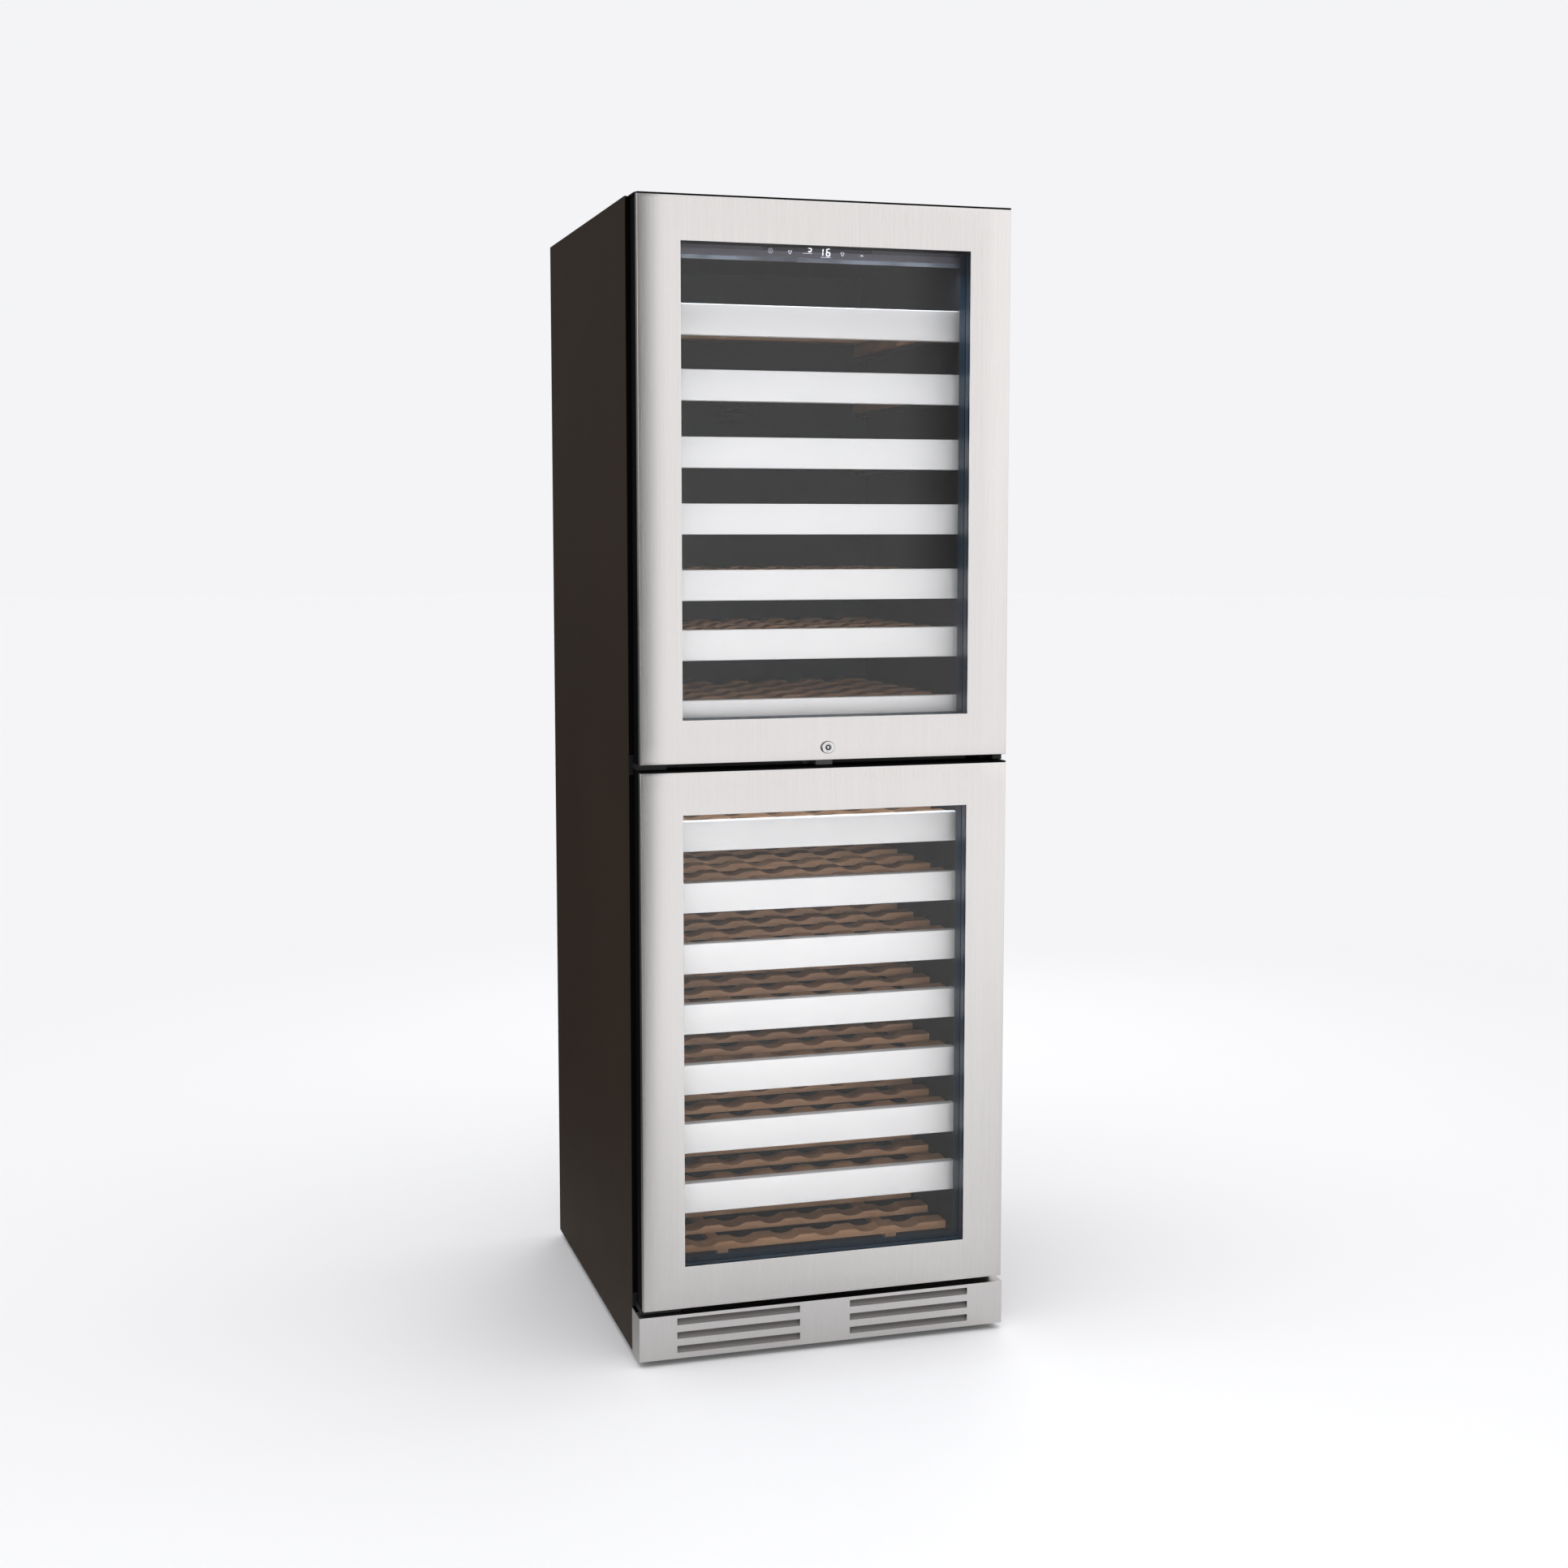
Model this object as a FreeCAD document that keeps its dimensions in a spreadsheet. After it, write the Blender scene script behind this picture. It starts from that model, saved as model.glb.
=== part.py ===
"""Two-door, dual-zone wine cooler: a parametric assembly of separate, jointed pieces.

Millimetres. +X is the viewer's right, the doors face -Y, +Z is up, and the origin is the
middle of the object's footprint on the floor.
"""
import FreeCAD, Part
import math
import os
import re

import Sketcher

Vector = FreeCAD.Vector
Rotation = FreeCAD.Rotation

# ---------------------------------------------------------------- driving dimensions
DIMENSIONS = {
    # cabinet
    "cab_w": 595,             # overall width
    "cab_top": 1770,          # overall height
    "foot_z": 10,             # underside of the base pan
    "front_y": -276.5,        # plane of the cabinet's front frame
    "back_y": 330,            # plane of the back panel
    "rear_y": 340,            # rearmost face, the service cover's spacers
    "sheet": 1.2,             # steel sheet
    "top_sheet": 1.5,         # top of the wrap
    "frame_th": 10,           # front frame thickness
    "frame_z": 80.5,          # bottom of the front frame
    "liner": 2,               # liner wall
    # cavities
    "cav_x": 250,             # half width
    "cav_back": 260,          # inner face of the rear wall
    "up_low": 965,
    "up_high": 1724,
    "low_low": 135,
    "low_high": 885,
    "step_y": 60,             # machine compartment step in the lower liner
    "step_z": 300,
    "bay_y": 105,             # machine compartment, front face
    "bay_z": 255,             # machine compartment, ceiling
    # doors
    "door_x": 292.5,          # half width
    "door_y": -336.5,         # front face
    "door_th": 48,            # body without the gasket
    "up_door_low": 930,
    "up_door_high": 1768,
    "low_door_low": 91,
    "low_door_high": 920,
    "rail": 65.5,             # width of the steel frame round the glass
    "skin": 1.2,
    "lip": 11,                # depth of the skin's folded edge
    "cap": 2,                 # black strip along each door's top
    "pane": 4,                # glass thickness
    "pane_gap": 14,           # between the panes
    "pane_edge": 9.8,         # glass hidden behind the steel
    "gasket_w": 14,
    "gasket_in": 12.5,        # gasket's distance from the door's edge
    "gasket_gap": 0.3,
    # hinges
    "pivot_x": -280,
    "pivot_y": -304.5,
    "pin_rad": 4,
    "pin_bore": 4.05,
    "pin_len": 20,
    "bracket_y": -318.5,      # front edge of the parts seen between the doors
    "flange_y": -279,         # front face of their screw flanges
    "slot_low": 920.8,        # height band of the parts between the doors
    "slot_high": 929.2,
    # lock
    "lock_z": 949.3,
    "lock_y": -340,
    "lock_back": -306,
    "tongue_y": -304,
    "tongue_th": 3,
    "tongue_len": 24,
    "tongue_half": 4,
    # shelves
    "shelf_x": 241,           # half width
    "shelf_y": -256.5,        # front face of the fascia
    "fascia_h": 46.5,
    "fascia_th": 16,
    "shelf_back": 205,        # rear of a full-depth rack
    "short_back": 45,         # rear of the rack over the machine compartment
    "side_w": 18,
    "side_h": 22,
    "side_drop": 36,          # underside of the side rails below the fascia's top
    "slat_h": 12,
    "slat_w": 34,
    "bottle_rad": 39,
    "scallop": 6,             # depth of a bottle's hollow in the slats
    "bottle_pitch": 68,
    "runner_gap": 0.3,
    "runner_h": 6,
    # plinth
    "plinth_y": -328.5,
    "plinth_depth": 30,        # of its top flange
    "plinth_back": -277,      # back end of its side returns
    "plinth_sheet": 1.5,
    "plinth_z": 79,
    "vent_low": 41,           # inner end of a vent slot
    "vent_high": 238,         # outer end of a vent slot
    "vent_h": 10.8,
    "vent_pitch": 21.8,
    "vent_top": 73.5,         # top of the highest slot
    # feet
    "foot_x": 250,
    "foot_front": -262,
    "foot_rear": 290,
    "stud_rad": 5,
    "stud_bore": 5.08,
    # inside
    "duct_y": 225,            # front face of the air duct covers
    "duct_th": 3,
    "fan_y": 244,
    "fan_rad": 42,
    "up_fan_z": 1500,
    "low_fan_z": 770,
    "cond_fan_x": -40,
    "cond_fan_y": 216,
    "cond_fan_z": 120,
    "cond_fan_rad": 62,
    "shaft_rad": 3,
    "shaft_bore": 3.05,
    "comp_x": -185,
    "comp_y": 216,
    "comp_rad": 68,
}

UPPER_SHELF_TOPS = (1618.5, 1520.5, 1419.5, 1318.8, 1218.0, 1126.5, 1018.5)
LOWER_SHELF_TOPS = (832.0, 736.0, 640.5, 545.5, 449.8, 356.5, 261.0)
SLATS = 6
BOTTLES = 6

doc = FreeCAD.newDocument("WineCooler")
dims = doc.addObject("Spreadsheet::Sheet", "Dims")
for row, (alias, size) in enumerate(DIMENSIONS.items(), start=1):
    dims.set("A%d" % row, alias)
    dims.set("B%d" % row, str(size))
    dims.setAlias("B%d" % row, alias)
doc.recompute()

nodes = {}


# ---------------------------------------------------------------- helpers
def link(text):
    """Point every dimension's name in an expression at its cell in the sheet."""
    return re.sub(r"[a-z_]+", lambda word: "Dims." + word.group() if word.group() in DIMENSIONS
                  else word.group(), text)


def number(text):
    return float(dims.evalExpression(link(text)))


def node(label, piece):
    """Register a finished sub-part under its own name."""
    piece.Label = label
    nodes[label] = piece
    return piece


def span(text):
    low, high = text.split(":")
    return low.strip(), high.strip()


def slab(name, x_span, y_span, z_span):
    """A box between two expressions on each axis, written 'low : high'."""
    box = doc.addObject("Part::Box", name)
    for size, axis, text in zip(("Length", "Width", "Height"), "xyz", (x_span, y_span, z_span)):
        low, high = span(text)
        box.setExpression(size, link("(%s) - (%s)" % (high, low)))
        box.setExpression("Placement.Base." + axis, link(low))
    return box


AXIS_TURN = {
    "x": Rotation(Vector(0, 1, 0), 90),
    "y": Rotation(Vector(1, 0, 0), -90),
    "z": Rotation(),
}


def rod(name, axis, radius, length, x, y, z):
    """A cylinder whose base centre is at x, y, z and which runs towards +axis."""
    cylinder = doc.addObject("Part::Cylinder", name)
    cylinder.Placement = FreeCAD.Placement(Vector(), AXIS_TURN[axis])
    cylinder.setExpression("Radius", link(radius))
    cylinder.setExpression("Height", link(length))
    for name_of_axis, text in zip("xyz", (x, y, z)):
        cylinder.setExpression("Placement.Base." + name_of_axis, link(text))
    return cylinder


def fused(name, pieces):
    if len(pieces) == 1:
        return pieces[0]
    fusion = doc.addObject("Part::MultiFuse", name)
    fusion.Shapes = pieces
    return fusion


def group(name, pieces):
    """Several separate solids as one object."""
    compound = doc.addObject("Part::Compound", name)
    compound.Links = pieces
    return compound


def carved(name, base, tools):
    cut = doc.addObject("Part::Cut", name)
    cut.Base = base
    cut.Tool = fused(name + "_tools", tools)
    return cut


def body_plane(body, role):
    return next(item for item in body.Origin.OriginFeatures if item.Role == role)


def sketch_on(body, name, role, offset="0"):
    """A sketch on one of the body's origin planes, moved along the plane's normal."""
    sketch = body.newObject("Sketcher::SketchObject", name)
    sketch.AttachmentSupport = [(body_plane(body, role), "")]
    sketch.MapMode = "FlatFace"
    sketch.setExpression("AttachmentOffset.Base.z", link(offset))
    return sketch


def pin_down(sketch, geometry, point, x, y):
    """Fix a point of the sketch at two expressions."""
    for kind, text in (("DistanceX", x), ("DistanceY", y)):
        constraint = Sketcher.Constraint(kind, -1, 1, geometry, point, number(text))
        index = sketch.addConstraint(constraint)
        sketch.setExpression("Constraints[%d]" % index, link(text))


def outline(sketch, points):
    """A closed polygon through points given as pairs of expressions."""
    places = [Vector(number(x), number(y), 0) for x, y in points]
    first = sketch.GeometryCount
    count = len(points)
    for i in range(count):
        sketch.addGeometry(Part.LineSegment(places[i], places[(i + 1) % count]))
    for i in range(count):
        sketch.addConstraint(
            Sketcher.Constraint("Coincident", first + i, 2, first + (i + 1) % count, 1))
    for i, (x, y) in enumerate(points):
        pin_down(sketch, first + i, 1, x, y)


def frame_outline(sketch, x_span, y_span):
    left, right = span(x_span)
    low, high = span(y_span)
    outline(sketch, [(left, low), (right, low), (right, high), (left, high)])


def ring_outline(sketch, radius, x="0", y="0"):
    centre = Vector(number(x), number(y), 0)
    index = sketch.addGeometry(Part.Circle(centre, Vector(0, 0, 1), number(radius)))
    pin_down(sketch, index, 3, x, y)
    constraint = sketch.addConstraint(Sketcher.Constraint("Radius", index, number(radius)))
    sketch.setExpression("Constraints[%d]" % constraint, link(radius))


def pad(body, sketch, length, backwards=False):
    feature = body.newObject("PartDesign::Pad", sketch.Name + "_pad")
    feature.Profile = sketch
    feature.setExpression("Length", link(length))
    feature.Reversed = backwards
    sketch.Visibility = False
    return feature


def pocket(body, sketch, length, backwards=False):
    """Cut the sketch into the body, and make sure that something was cut."""
    doc.recompute()
    before = body.Shape.Volume
    feature = body.newObject("PartDesign::Pocket", sketch.Name + "_pocket")
    feature.Profile = sketch
    feature.setExpression("Length", link(length))
    feature.Reversed = backwards
    doc.recompute()
    if body.Shape.Volume > before - 1:
        raise RuntimeError(feature.Name + " cut nothing")
    return feature


def revolve(body, sketch):
    feature = body.newObject("PartDesign::Revolution", sketch.Name + "_turned")
    feature.Profile = sketch
    feature.ReferenceAxis = (sketch, ["V_Axis"])
    feature.Angle = 360
    return feature


def place(piece, x="0", y="0", z="0", turn=None):
    """Put a piece that was made about its own origin in its place."""
    if turn is not None:
        piece.Placement = FreeCAD.Placement(Vector(), turn)
    for axis, text in zip("xyz", (x, y, z)):
        piece.setExpression("Placement.Base." + axis, link(text))


def new_body(name):
    return doc.addObject("PartDesign::Body", name)


# ---------------------------------------------------------------- cabinet shell
def outer_wrap():
    """Folded steel sides and top, notched for the top hinge plate."""
    left = slab("wrap_left", "-cab_w/2 : -cab_w/2 + sheet", "front_y : back_y",
                "foot_z : cab_top - top_sheet")
    right = slab("wrap_right", "cab_w/2 - sheet : cab_w/2", "front_y : back_y",
                 "foot_z : cab_top - top_sheet")
    top = slab("wrap_top", "-cab_w/2 : cab_w/2", "front_y : back_y", "cab_top - top_sheet : cab_top")
    notch = slab("wrap_notch", "pivot_x - 13 : pivot_x + 45", "front_y - 1 : front_y + 46",
                 "cab_top - top_sheet - 1 : cab_top + 1")
    node("outer_wrap", fused("wrap", [left, right, carved("wrap_top_cut", top, [notch])]))


def back_panel():
    """Back sheet with pressed stiffening beads."""
    sheet = slab("back_sheet", "-cab_w/2 + sheet : cab_w/2 - sheet", "back_y - sheet : back_y",
                 "bay_z + 1.5 : cab_top - top_sheet")
    beads = []
    for i, bead_x in enumerate((-180, -60, 60, 180)):
        beads.append(slab("back_bead_%d" % i, "%d : %d" % (bead_x - 9, bead_x + 9),
                          "back_y : back_y + 2.5", "bay_z + 90 : cab_top - 90"))
    node("back_panel", fused("back", [sheet] + beads))


def base_pan():
    """Floor tray with an upstand behind the plinth and nut bosses for the feet."""
    pan_x = "-cab_w/2 + sheet : cab_w/2 - sheet"
    parts = [
        slab("pan_floor", pan_x, "front_y : back_y - sheet", "foot_z : foot_z + 2"),
        slab("pan_nose_floor", "-285 : 285", "front_y - 21.5 : front_y", "foot_z : foot_z + 2"),
        slab("pan_nose", "-285 : 285", "front_y - 21.5 : front_y - 19.5", "foot_z : plinth_z - 1"),
        slab("pan_shelf", "-285 : 285", "front_y - 21.5 : front_y + frame_th",
             "plinth_z - 1 : plinth_z + 0.5"),
        slab("pan_wall", pan_x, "bay_y - 2 : bay_y", "foot_z : bay_z"),
        slab("pan_roof", pan_x, "bay_y - 2 : back_y - sheet", "bay_z : bay_z + 1.5"),
    ]
    holes = []
    for i, (foot_x, foot_y) in enumerate(FEET):
        parts.append(rod("pan_boss_%d" % i, "z", "stud_rad + 6", "9", foot_x, foot_y, "foot_z"))
        holes.append(rod("pan_bore_%d" % i, "z", "stud_bore", "14", foot_x, foot_y, "foot_z - 1"))
    holes.append(rod("pan_pipe_hole", "z", "9", "8", "210", "314", "bay_z - 3"))
    node("base_pan", carved("pan", fused("pan_solid", parts), holes))


def insulation_foam():
    """Foam between the wrap and the liners, with a chase for the refrigerant pipes."""
    block = slab("foam_block", "-cab_w/2 + sheet : cab_w/2 - sheet",
                 "front_y + frame_th : back_y - sheet", "plinth_z + 1.5 : cab_top - top_sheet")
    hollows = [
        slab("foam_upper", "-cav_x - liner : cav_x + liner",
             "front_y + frame_th - 1 : cav_back + liner", "up_low - liner : up_high + liner"),
        slab("foam_lower", "-cav_x - liner : cav_x + liner",
             "front_y + frame_th - 1 : step_y + liner", "low_low - liner : low_high + liner"),
        slab("foam_lower_back", "-cav_x - liner : cav_x + liner",
             "step_y : cav_back + liner", "step_z - liner : low_high + liner"),
        slab("foam_bay", "-cab_w/2 : cab_w/2", "bay_y - 2 : back_y", "plinth_z : bay_z + 1.5"),
        slab("foam_chase", "196 : 224", "300 : back_y", "bay_z : 1330"),
        slab("foam_branch_upper", "196 : 224", "cav_back : 301", "1296 : 1330"),
        slab("foam_branch_lower", "196 : 224", "cav_back : 301", "596 : 630"),
    ]
    node("insulation_foam", carved("foam", block, hollows))


def liner_shell(name, solids, hollows):
    node(name, carved(name + "_shell", fused(name + "_outer", solids), hollows))


def liners():
    """Two open-fronted plastic liners; the lower one steps over the machine compartment."""
    outer_x = "-cav_x - liner : cav_x + liner"
    inner_x = "-cav_x : cav_x"
    mouth = "front_y + frame_th"
    liner_shell(
        "upper_liner",
        [slab("upper_liner_outer", outer_x, mouth + " : cav_back + liner",
              "up_low - liner : up_high + liner")],
        [slab("upper_liner_inner", inner_x, mouth + " - 1 : cav_back", "up_low : up_high")])
    liner_shell(
        "lower_liner",
        [slab("lower_liner_front", outer_x, mouth + " : step_y + liner",
              "low_low - liner : low_high + liner"),
         slab("lower_liner_rear", outer_x, "step_y : cav_back + liner",
              "step_z - liner : low_high + liner")],
        [slab("lower_liner_hollow", inner_x, mouth + " - 1 : step_y", "low_low : low_high"),
         slab("lower_liner_hollow_rear", inner_x, "step_y - 1 : cav_back", "step_z : low_high")])


def front_frame():
    """Moulded face frame that the gaskets close on."""
    plate = slab("frame_plate", "-cab_w/2 + sheet : cab_w/2 - sheet",
                 "front_y : front_y + frame_th", "frame_z : cab_top - top_sheet")
    openings = [
        slab("frame_upper", "-cav_x : cav_x", "front_y - 1 : front_y + frame_th + 1",
             "up_low : up_high"),
        slab("frame_lower", "-cav_x : cav_x", "front_y - 1 : front_y + frame_th + 1",
             "low_low : low_high"),
    ]
    node("front_frame", carved("frame", plate, openings))


# ---------------------------------------------------------------- plinth and feet
def plinth_grille():
    """Folded kick plate: returns back to the cabinet, a top flange, two banks of louvred slots."""
    body = new_body("plinth")
    profile = sketch_on(body, "plinth_profile", "XY_Plane", "foot_z")
    half = "cab_w/2"
    outline(profile, [
        ("-" + half, "plinth_y"), (half, "plinth_y"), (half, "plinth_back"),
        (half + " - plinth_sheet", "plinth_back"),
        (half + " - plinth_sheet", "plinth_y + plinth_sheet"),
        ("-" + half + " + plinth_sheet", "plinth_y + plinth_sheet"),
        ("-" + half + " + plinth_sheet", "plinth_back"), ("-" + half, "plinth_back")])
    pad(body, profile, "plinth_z - foot_z")
    flange = sketch_on(body, "plinth_flange", "XY_Plane", "plinth_z - plinth_sheet")
    frame_outline(flange, "-%s : %s" % (half, half), "plinth_y : plinth_y + plinth_depth")
    pad(body, flange, "plinth_sheet")
    slots = sketch_on(body, "plinth_slots", "XZ_Plane", "-plinth_y")
    for row in range(3):
        top = "vent_top - %d * vent_pitch" % row
        for ends in ("-vent_high : -vent_low", "vent_low : vent_high"):
            frame_outline(slots, ends, "%s - vent_h : %s" % (top, top))
    pocket(body, slots, "5")
    for side, start in (("left", "-vent_high - 1"), ("right", "vent_low - 1")):
        blades = sketch_on(body, "plinth_blades_" + side, "YZ_Plane", start)
        for row in range(3):
            low = "vent_top - vent_h - %d * vent_pitch" % row
            outline(blades, [
                ("plinth_y + 0.8", low), ("plinth_y + 0.8", low + " - 1.4"),
                ("plinth_y + 10", low + " + 5.6"), ("plinth_y + 10", low + " + 7")])
        pad(body, blades, "vent_high - vent_low + 2")
    node("plinth_grille", body)


FEET = (("-foot_x", "foot_front"), ("foot_x", "foot_front"),
        ("-foot_x", "foot_rear"), ("foot_x", "foot_rear"))
FOOT_NAMES = ("foot_front_left", "foot_front_right", "foot_rear_left", "foot_rear_right")


def feet():
    """Levelling feet: a wide pad and a hexagon collar on a threaded stud."""
    for name, (foot_x, foot_y) in zip(FOOT_NAMES, FEET):
        body = new_body(name)
        profile = sketch_on(body, name + "_profile", "XZ_Plane")
        outline(profile, [
            ("0", "0"), ("18.5", "0"), ("20", "1.5"), ("20", "4"), ("17", "5.5"), ("11", "6"),
            ("11", "foot_z - 0.4"), ("stud_rad", "foot_z - 0.4"), ("stud_rad", "27.5"),
            ("stud_rad - 1.5", "29"), ("0", "29")])
        revolve(body, profile)
        place(body, foot_x, foot_y)
        node(name, body)


# ---------------------------------------------------------------- hinges and the parts between the doors
def bracket(name, arm_x, arm_z, flange_x, flange_z, pins):
    """Arm that stands out of the front frame on a screw flange, with hinge pins."""
    body = new_body(name)
    arm = sketch_on(body, name + "_arm", "XY_Plane", span(arm_z)[0])
    frame_outline(arm, arm_x, "bracket_y : front_y")
    pad(body, arm, "(%s) - (%s)" % tuple(reversed(span(arm_z))))
    flange = sketch_on(body, name + "_flange", "XZ_Plane", "-front_y")
    frame_outline(flange, flange_x, flange_z)
    pad(body, flange, "front_y - flange_y")
    for i, (start, length, downwards) in enumerate(pins):
        pin = sketch_on(body, "%s_pin_%d" % (name, i), "XY_Plane", start)
        ring_outline(pin, "pin_rad", "pivot_x", "pivot_y")
        pad(body, pin, length, downwards)
    node(name, body)
    return body


def hinges():
    """Top plate, middle and bottom brackets; their pins carry the doors."""
    top = new_body("top_hinge_bracket")
    plate = sketch_on(top, "top_hinge_plate", "XY_Plane", "cab_top - top_sheet")
    outline(plate, [
        ("pivot_x - 12", "pivot_y - 12"), ("pivot_x + 14", "pivot_y - 12"),
        ("pivot_x + 44", "front_y"), ("pivot_x + 44", "front_y + 45"),
        ("pivot_x - 12", "front_y + 45")])
    pad(top, plate, "top_sheet")
    pin = sketch_on(top, "top_hinge_pin", "XY_Plane", "cab_top - top_sheet")
    ring_outline(pin, "pin_rad", "pivot_x", "pivot_y")
    pad(top, pin, "pin_len", True)
    node("top_hinge_bracket", top)
    bracket("middle_hinge_bracket", "-door_x : -248", "slot_low : slot_high",
            "-297 : -244", "slot_low - 11 : slot_high + 11",
            [("slot_high", "pin_len", False), ("slot_low", "pin_len", True)])
    bracket("bottom_hinge_bracket", "-door_x : -230", "frame_z + 0.7 : low_door_low - 0.6",
            "-297 : -226", "frame_z + 0.7 : frame_z + 22",
            [("low_door_low - 0.6", "pin_len", False)])
    bracket("door_rest_bracket", "277 : door_x", "slot_low : slot_high",
            "270 : 297", "slot_low - 11 : slot_high + 11", [])
    strike = bracket("lock_strike", "-13.5 : 13.5", "slot_low : slot_high",
                     "-22 : 22", "slot_low - 11 : slot_high + 11", [])
    mouth = sketch_on(strike, "strike_mouth", "XY_Plane", "slot_high")
    frame_outline(mouth, "-tongue_half - 2 : 20",
                  "tongue_y - 1 : tongue_y + tongue_th + 1")
    pocket(strike, mouth, "slot_high - slot_low - 2")


# ---------------------------------------------------------------- doors
def door(side, low, high, latch):
    """One glazed door: steel skin, black carcass, two panes, spacer and gasket."""
    window_x = "-door_x + rail : door_x - rail"
    window_z = "%s + rail : %s - rail" % (low, high)
    glass_x = "-door_x + rail - pane_edge : door_x - rail + pane_edge"
    glass_z = "%s + rail - pane_edge : %s - rail + pane_edge" % (low, high)

    skin = new_body(side + "_skin")
    face = sketch_on(skin, side + "_skin_face", "XZ_Plane", "-door_y")
    frame_outline(face, "-door_x : door_x", "%s : %s - cap" % (low, high))
    frame_outline(face, window_x, window_z)
    pad(skin, face, "lip", True)
    back = sketch_on(skin, side + "_skin_back", "XZ_Plane", "-door_y - skin")
    frame_outline(back, "-door_x + skin : door_x - skin",
                  "%s + skin : %s - cap - skin" % (low, high))
    pocket(skin, back, "lip")
    if latch:
        hole = sketch_on(skin, side + "_skin_hole", "XZ_Plane", "-door_y")
        ring_outline(hole, "9.6", "0", "lock_z")
        pocket(skin, hole, "skin + 1")
    node(side + "_skin", skin)

    carcass = slab(side + "_carcass", "-door_x + skin : door_x - skin",
                   "door_y + skin : door_y + door_th",
                   "%s + skin : %s - cap - skin" % (low, high))
    cap_back = slab(side + "_cap_back", "-door_x + skin : door_x - skin",
                    "door_y + lip : door_y + door_th", "%s - cap - skin : %s - cap" % (high, high))
    cap_top = slab(side + "_cap_top", "-door_x : door_x", "door_y : door_y + door_th",
                   "%s - cap : %s" % (high, high))
    cuts = [
        slab(side + "_window", window_x, "door_y : door_y + door_th + 1", window_z),
        slab(side + "_rebate", "-door_x + rail - 10 : door_x - rail + 10",
             "door_y : door_y + 1.4 + pane*2 + pane_gap",
             "%s + rail - 10 : %s - rail + 10" % (low, high)),
        rod(side + "_bore_low", "z", "pin_bore", "pin_len + 2", "pivot_x", "pivot_y", low),
        rod(side + "_bore_high", "z", "pin_bore", "pin_len + 2", "pivot_x", "pivot_y",
            high + " - pin_len - 2"),
    ]
    if latch:
        cuts += [
            rod(side + "_lock_bore", "y", "9.6", "lock_back - door_y + 1", "0", "door_y",
                "lock_z"),
            slab(side + "_tongue_room", "-tongue_half - 4 : tongue_len + 4",
                 "lock_back : tongue_y + tongue_th + 1", low + " - 1 : lock_z + tongue_half + 8"),
        ]
    shell = fused(side + "_shell", [carcass, cap_back, cap_top])
    node(side + "_frame", carved(side + "_frame_cut", shell, cuts))

    outer_y = "door_y + 1.4"
    panes = [
        slab(side + "_pane_outer", glass_x, "%s : %s + pane" % (outer_y, outer_y), glass_z),
        slab(side + "_pane_inner", glass_x,
             "%s + pane + pane_gap : %s + pane*2 + pane_gap" % (outer_y, outer_y), glass_z),
    ]
    node(side + "_glass", group(side + "_panes", panes))
    spacer_y = "%s + pane : %s + pane + pane_gap" % (outer_y, outer_y)
    node(side + "_spacer", carved(side + "_spacer_ring",
                                  slab(side + "_spacer_outer", glass_x, spacer_y, glass_z),
                                  [slab(side + "_spacer_inner", window_x,
                                        "door_y : door_y + door_th", window_z)]))

    seal_y = "door_y + door_th : front_y - gasket_gap"
    seal_inset = "gasket_in + gasket_w"
    node(side + "_gasket", carved(
        side + "_gasket_ring",
        slab(side + "_gasket_outer", "-door_x + gasket_in : door_x - gasket_in", seal_y,
             "%s + gasket_in + 1.5 : %s - gasket_in - 1.5" % (low, high)),
        [slab(side + "_gasket_inner", "-door_x + %s : door_x - (%s)" % (seal_inset, seal_inset),
              "door_y : front_y",
              "%s + 1.5 + %s : %s - 1.5 - (%s)" % (low, seal_inset, high, seal_inset))]))


def lock():
    """Cam lock: a fixed oval housing, and a plug that turns the tongue."""
    barrel = rod("lock_barrel", "y", "9.5", "lock_back - lock_y - 2.2", "0", "lock_y + 2.2",
                 "lock_z")
    bezel = doc.addObject("Part::Ellipsoid", "lock_bezel_solid")
    bezel.Radius1 = 8
    bezel.Radius2 = 11.7
    bezel.Radius3 = 9.8
    bezel.Placement = FreeCAD.Placement(Vector(), Rotation(Vector(1, 0, 0), 90))
    for axis, text in zip("xyz", ("0", "door_y + 2.5", "lock_z")):
        bezel.setExpression("Placement.Base." + axis, link(text))
    front = slab("lock_bezel_clip", "-15 : 15", "lock_y : door_y", "lock_z - 15 : lock_z + 15")
    face = doc.addObject("Part::Common", "lock_bezel_front")
    face.Base = bezel
    face.Tool = front
    bore = rod("lock_bore", "y", "5.3", "lock_back - lock_y + 2", "0", "lock_y - 1", "lock_z")
    node("lock_body", carved("lock_housing", fused("lock_solid", [barrel, face]), [bore]))

    plug = rod("lock_plug", "y", "5.25", "tongue_y - lock_y - 0.8", "0", "lock_y + 0.8", "lock_z")
    slot = slab("lock_key_slot", "-0.8 : 0.8", "lock_y : lock_y + 12", "lock_z - 3.6 : lock_z + 3.6")
    tongue = slab("lock_tongue", "-tongue_half : tongue_len", "tongue_y : tongue_y + tongue_th",
                  "lock_z - tongue_half : lock_z + tongue_half")
    node("lock_cylinder", carved("lock_turning", fused("lock_plug_tongue", [plug, tongue]), [slot]))


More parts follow.
